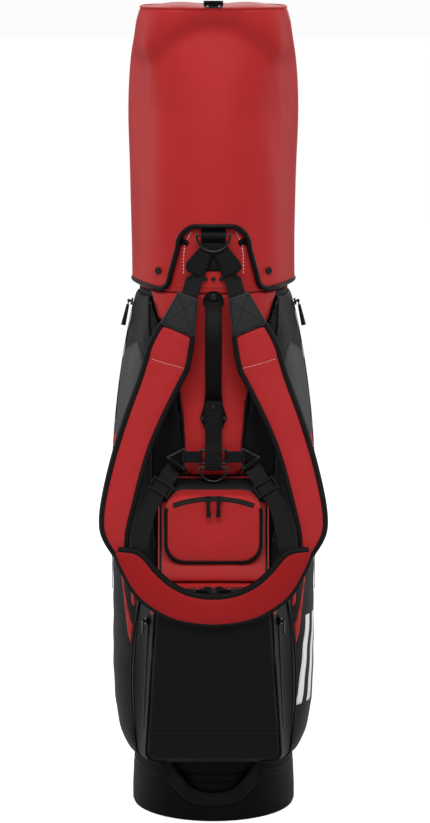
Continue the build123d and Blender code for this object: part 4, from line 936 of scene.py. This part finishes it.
# ---------------------------------------------------------------- shoulder pads
# Foam pads covered in red cloth, bound round their edges in thick black tape and
# crossed near the top by one stitched seam.
pad_cloth = finish(
    "pad_cloth", weave, (0.4, 0.017, 0.019), 0.92, 420, 0.45, 0.45,
    Specular_IOR_Level=0.16, Sheen_Weight=0.12, Sheen_Roughness=0.3
)
pad_binding = finish("pad_binding", weave, (0.0038, 0.0038, 0.004), 0.8, 500, 0.4, 0.5, Specular_IOR_Level=0.12)
PAD_OUTER = [(82, 798.4), (99.6, 765), (113.5, 718), (136, 657), (155.6, 595), (170, 534), (174, 495), (169, 472)]
PAD_OUTER += [(153, 446)]
PAD_INNER = [(30, 777.7), (38, 732), (46, 715), (70, 668), (92.5, 618), (108, 571), (120, 525), (130, 485)]
PAD_INNER += [(133, 456)]
PAD_FRONT = [(440, -198), (462, -196), (530, -186), (620, -168), (720, -153), (812, -147.5)]


def even(points, count):
    """Count points at equal distances along a smooth line through points."""
    line = curve_through(points, 12)
    reach = [0.0]
    for a, b in zip(line, line[1:]):
        reach.append(reach[-1] + (b - a).length)
    out = []
    j = 0
    for i in range(count):
        at = reach[-1] * i / (count - 1)
        while j < len(line) - 2 and reach[j + 1] < at:
            j += 1
        out.append(line[j].lerp(line[j + 1], (at - reach[j]) / max(1e-6, reach[j + 1] - reach[j])))
    return out


def quilt(name, outer, inner, depth, thick, rim, materials, body, stations=64, across=10, seam=None):
    """A crowned pad between two lines in X and Z; depth(x, z) is its front face."""
    bm = bmesh.new()
    pairs = list(zip(even(outer, stations), even(inner, stations)))
    count = 2 * across

    def place(turn, pair):
        i = round(turn * count) % count
        u = -cos(pi * i / across) if i <= across else -cos(pi * (count - i) / across)
        swell = rim + (1 - rim) * max(0.0, 1 - abs(u) ** 3) ** 0.6
        spot = pair[0].lerp(pair[1], (1 + u) / 2)
        front = 1 if 0 < i < across else -1 if i > across else 0
        deep = depth(spot.x, spot.y) + thick / 2 - front * thick / 2 * swell
        if seam and front > 0:
            deep += seam(spot.x, spot.y)
        return Vector((spot.x, deep, spot.y))
    rings = wrap(bm, count, pairs, place)
    cap(bm, rings[0])
    cap(bm, rings[-1])
    made = piece(name, bm, materials, body)
    edges = [[Vector((p.x, depth(p.x, p.y) + thick / 2, p.y)) for p in line] for line in zip(*pairs)]
    return made, edges


def puff(obj, edges, pressure=3.0, reach=3.0):
    """Inflates a pad by a cloth simulation, its edges pinned, moving no point more than reach."""
    rims = {tuple(round(c, 2) for c in p) for edge in edges for p in edge}
    rest = [vert.co.copy() for vert in obj.data.vertices]
    seams = obj.vertex_groups.new(name="seams")
    held = [i for i, co in enumerate(rest) if tuple(round(c, 2) for c in co / MM) in rims]
    seams.add(held, 1.0, "REPLACE")
    cloth = obj.modifiers.new("cloth", "CLOTH")
    cloth.settings.quality = 6
    cloth.settings.mass = 0.25
    cloth.settings.tension_stiffness = 18
    cloth.settings.compression_stiffness = 12
    cloth.settings.bending_stiffness = 0.8
    cloth.settings.use_pressure = True
    cloth.settings.uniform_pressure_force = pressure
    cloth.settings.vertex_group_mass = "seams"
    cloth.settings.effector_weights.gravity = 0
    cloth.collision_settings.use_collision = False
    for step_number in range(1, 19):
        bpy.context.scene.frame_set(step_number)
    posed = obj.evaluated_get(bpy.context.evaluated_depsgraph_get())
    mesh = posed.to_mesh()
    moved = [vert.co.copy() for vert in mesh.vertices]
    posed.to_mesh_clear()
    obj.modifiers.remove(cloth)
    bpy.context.scene.frame_set(1)
    for vert, start, end in zip(obj.data.vertices, rest, moved):
        shift = end - start
        if shift.length > reach * MM:
            shift *= reach * MM / shift.length
        vert.co = start + shift
    obj.data.update()


def pad_depth(x, z):
    return along(PAD_FRONT, z)


def pad_seam(side):
    """A shallow valley along the seam that crosses the pad's upper end."""
    a, b = Vector((side * 97, 746)), Vector((side * 36, 728))
    normal = Vector((-(b - a).y, (b - a).x)).normalized()
    return lambda x, z: 1.3 * exp(-((Vector((x, z)) - a).dot(normal) / 3.0) ** 2)


for side, name in SIDES:
    outer = [(side * (x - 2.6), z) for x, z in PAD_OUTER]
    inner = [(side * (x + 2.6), z) for x, z in PAD_INNER]
    pad, edges = quilt(f"{name}_pad", outer, inner, pad_depth, 12.0, 0.3, [pad_cloth], "bag", 72, 12, pad_seam(side))
    puff(pad, edges)
    soften(pad, levels=1)
    stands(pad, "pad_fabric", f"{name}_shoulder_pad")
    for label, edge in zip(("outer", "inner"), edges):
        bound = pipe(f"{name}_pad_{label}_binding", edge, 5.4, pad_binding)
    rows = [[(side * (95 - 55 * i / 14), 745.4 - 16.2 * i / 14) for i in range(15)]]
    sew(f"{name}_pad_stitches", rows, skin_of(pad), thread, "bag", 3.8, 2.2, 0.26)

# ---------------------------------------------------------------- cross band
# The lower band that joins the two pads: foam under smooth red hide, bound in the
# same black tape, whose ends lap over the pads' feet.
band_hide = finish(
    "band_hide", grain, (0.3, 0.008, 0.009), 0.92, 1100, 0.1, 0.42,
    Specular_IOR_Level=0.13, Sheen_Weight=0.06, Sheen_Roughness=0.3
)
BAND_LOWER = [(0, 343), (44, 347.5), (80, 360), (117, 386.5), (140, 424), (151, 452)]
BAND_UPPER = [(0, 387), (36, 392), (66, 407), (89.5, 428), (107, 449), (123, 456.5), (145, 456.5)]
BAND_FRONT = [(0, -230), (60, -229), (100, -223), (130, -217), (160, -207)]


def band_depth(x, z):
    return along(BAND_FRONT, abs(x))


def both_ways(half):
    return [(-x, z) for x, z in reversed(half[1:])] + half


band, edges = quilt("lower_band", both_ways(BAND_LOWER), both_ways(BAND_UPPER), band_depth, 12.0, 0.35, [band_hide],
                    "bag", 96, 12)
puff(band, edges)
soften(band, levels=1)
stands(band, "red_leatherette", "cross_band")
for label, edge, radius in zip(("lower", "upper"), edges, (4.2, 5.6)):
    pipe(f"band_{label}_binding", edge, radius, pad_binding)

# ---------------------------------------------------------------- lower straps
# Adjustable webbing from each triangle ring through a three-bar slide to the foot
# of the shoulder pad.
for side, name in SIDES:
    skin = skin_of(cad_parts["lower_webbing"])
    line = even([(side * x, z) for x, z in ((58, 579), (70, 561), (86, 539), (99.5, 517), (109, 482), (115, 445))], 28)
    lower = strap(f"{name}_lower_strap", laid(skin, [(p.x, p.y) for p in line], 0.9), 26.0, 2.0, webbing)
    stands(lower, "black_webbing", "lower_webbing")

# ---------------------------------------------------------------- base grab handle
# A flat loop of doubled webbing at the foot, sewn in under the ball pocket.
GRAB_OUTER = [(0, 28), (38, 34), (70, 62), (95.5, 106)]
GRAB_INNER = [(0, 49), (28, 54), (52, 76), (76.5, 106)]
GRAB_FRONT = [(0, -137.5), (45, -133), (72, -120), (110, -120)]
grab, edges = quilt("grab_webbing", both_ways(GRAB_OUTER), both_ways(GRAB_INNER),
                    lambda x, z: along(GRAB_FRONT, abs(x)), 3.0, 0.7, [webbing], "grab_handle", 48, 6)
stands(grab, "black_webbing", "grab_handle")
rows = [[(x, z + 3.5) for x, z in both_ways(GRAB_OUTER)], [(x, z - 3.5) for x, z in both_ways(GRAB_INNER)]]
sew("grab_stitches", rows, skin_of(grab), cord_black, "grab_handle", 4.0, 3.0, 0.3)

# ---------------------------------------------------------------- rain hood
# A tall cap of red synthetic leather over a thin stiffener, seamed to a domed lid,
# bound in black round its hem and the gap that the harness passes through.
HOOD_SECTIONS = [(846, 128, 131), (980, 129.5, 133), (1100, 133, 134), (1180, 131, 130), (1240, 123, 121)]
HOOD_SECTIONS += [(1265, 117.5, 117), (1279, 112.5, 115)]
HEM = 848.0
RIM = 1278.0
hood_line = curve_through(HOOD_SECTIONS, 10)
hood_rx = [(p.x, p.y) for p in hood_line]
hood_ry = [(p.x, p.z) for p in hood_line]


def hem_height(x):
    """The hood's lower edge: level, with rounded lobes beside an arched gap at the front."""
    x = abs(x)
    if x < 24:
        return 948.0
    if x < 56.5:
        return 915 + sqrt(max(0.0, 33**2 - (x - 24) ** 2))
    if x < 71:
        return 915 - (x - 56.5) * 50 / 14.5
    if x < 88:
        return 865 - sqrt(max(0.0, 17**2 - (88 - x) ** 2)) * (865 - HEM) / 17
    return HEM + 6 * min(1.0, (x - 88) / 40)


def hood_fold(angle, x, z):
    """How far the cloth stands out from its plain shape."""
    near = max(0.0, cos(angle)) ** 0.5
    crease = 1.07 + 0.26 * min(1.0, max(0.0, (1278 - z) / 80))
    inside = 1 / (1 + exp((abs(angle) - crease) / 0.05))
    valley = 1241 - 55 * min(1.0, abs(x) / 104) ** 2.2
    deep = (z - valley) / (24 if z > valley else 150)
    out = -20.0 * exp(-deep * deep) * near * inside
    out -= 2.5 * exp(-((z - 1235) / 16) ** 2) * (1 - near) ** 2
    out += 2.2 * exp(-((abs(angle) - crease) / 0.085) ** 2) * min(1.0, max(0.0, (z - 1150) / 90))
    out += 0.8 * sin(7 * angle + 0.6) * sin(pi * (z - HEM) / 420) + 0.35 * sin(13 * angle + z / 60)
    return out + 0.25 * sin(z / 23 + 2 * angle)


def hood_point(angle, z):
    """A point of the hood at an angle from the front; its plan squares up towards the rim."""
    squared = 2 + 1.1 * min(1.0, max(0.0, (z - 1120) / 150))
    a, b = sin(angle), cos(angle)
    grow = (abs(a) ** squared + abs(b) ** squared) ** (-1 / squared)
    rx, ry = along(hood_rx, z), along(hood_ry, z)
    x, y = rx * a * grow, -ry * b * grow
    out = Vector((a / rx, -b / ry)).normalized() * hood_fold(angle, x, z)
    return Vector((x + out.x, y + out.y, z))


half = [asin(x / 129.6) for x in list(range(2, 30, 4)) + [29 + 1.6 * i for i in range(1, 18)]]
half += [asin(x / 129.6) for x in [57.5 + 1.6 * i for i in range(8)] + [70 + 1.5 * i for i in range(1, 12)]]
half += [radians(a) for a in range(43, 178, 3)]
angles = half + [-a for a in reversed(half)]
hems = [hem_height(129.6 * sin(a)) if abs(a) < pi / 2 else HEM + 6 for a in angles]


def hood_place(turn, level):
    """Level 0 is the hem and 1 the rim; past that the rings close in across the lid."""
    i = round(turn * len(angles)) % len(angles)
    if level <= 1:
        return hood_point(angles[i], hems[i] + (RIM - hems[i]) * level)
    rim = hood_point(angles[i], RIM)
    share = 2 - level
    x, y = rim.x * share, rim.y * share
    bulge = 5.0 * sin(min(1.0, abs(x) / 108) * pi) ** 1.5 * (1 - share**8)
    return Vector((x, y, RIM + 0.6 + bulge))


bm = bmesh.new()
levels = [i / 56 for i in range(57)] + [1.012, 1.03, 1.07, 1.13, 1.22, 1.36, 1.55, 1.75, 1.92]
cap(bm, wrap(bm, len(angles), levels, hood_place)[-1])
hood = piece("hood_cloth", bm, [red_hide, lining], "hood")
soften(hood, 2.4)
hood.modifiers["wall"].material_offset = 1
stands(hood, "red_leatherette", "hood_shell")
edge = [hood_place(i / len(angles), 0.0) for i in range(len(angles))]
inward = [Vector((p.x, p.y, 0)).normalized() * -2.4 for p in edge]
hem = pipe("hood_hem_piping", [p + q for p, q in zip(edge, inward)], 4.4, cord_black, "hood", closed=True)
stands(hem, "black_leatherette", "hood_hem")
welt = [hood_place(i / len(angles), 1.0) + Vector((0, 0, 0.4)) for i in range(len(angles))]
pipe("hood_lid_welt", welt, 1.5, red_hide, "hood", closed=True)
hood_skin = skin_of(hood)
rows = [[(x, hem_height(x) + 9.5) for x in range(-54, 55, 3)]]
sew("hood_hem_stitches", rows, hood_skin, red_thread, "hood", 4.0, 2.6, 0.3)

# ---------------------------------------------------------------- hood fittings
# Press studs beside the gap, and a webbing strap over the lid with a moulded
# buckle at its front, held by two small rivets.
coat(painted, "hood_snaps")
coat(moulding, "hood_buckle")
over_lid = [(-115, 1279.4), (-111, 1280.3), (-104, 1280.3), (-88, 1280.3), (-60, 1280.1), (-20, 1280.1), (20, 1280.1)]
over_lid += [(60, 1280.1), (88, 1280.1), (104, 1280.1), (109.5, 1280.1), (113, 1279.4)]
lid_strap = strap("hood_lid_strap", spread_path(over_lid), 26.0, 1.6, webbing, "hood")
stands(lid_strap, "black_webbing", "hood_top_tab")
buckle_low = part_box("hood_buckle")[0] / MM
for side, name in SIDES:
    bm = bmesh.new()
    bmesh.ops.create_uvsphere(bm, u_segments=20, v_segments=10, radius=2.2)
    bmesh.ops.scale(bm, vec=(1, 0.5, 1), verts=bm.verts)
    bmesh.ops.translate(bm, vec=(side * 9, min(buckle_low.y, -116) - 0.2, 1281), verts=bm.verts)
    rivet = piece(f"{name}_lid_rivet", bm, [drawn_wire], "hood")
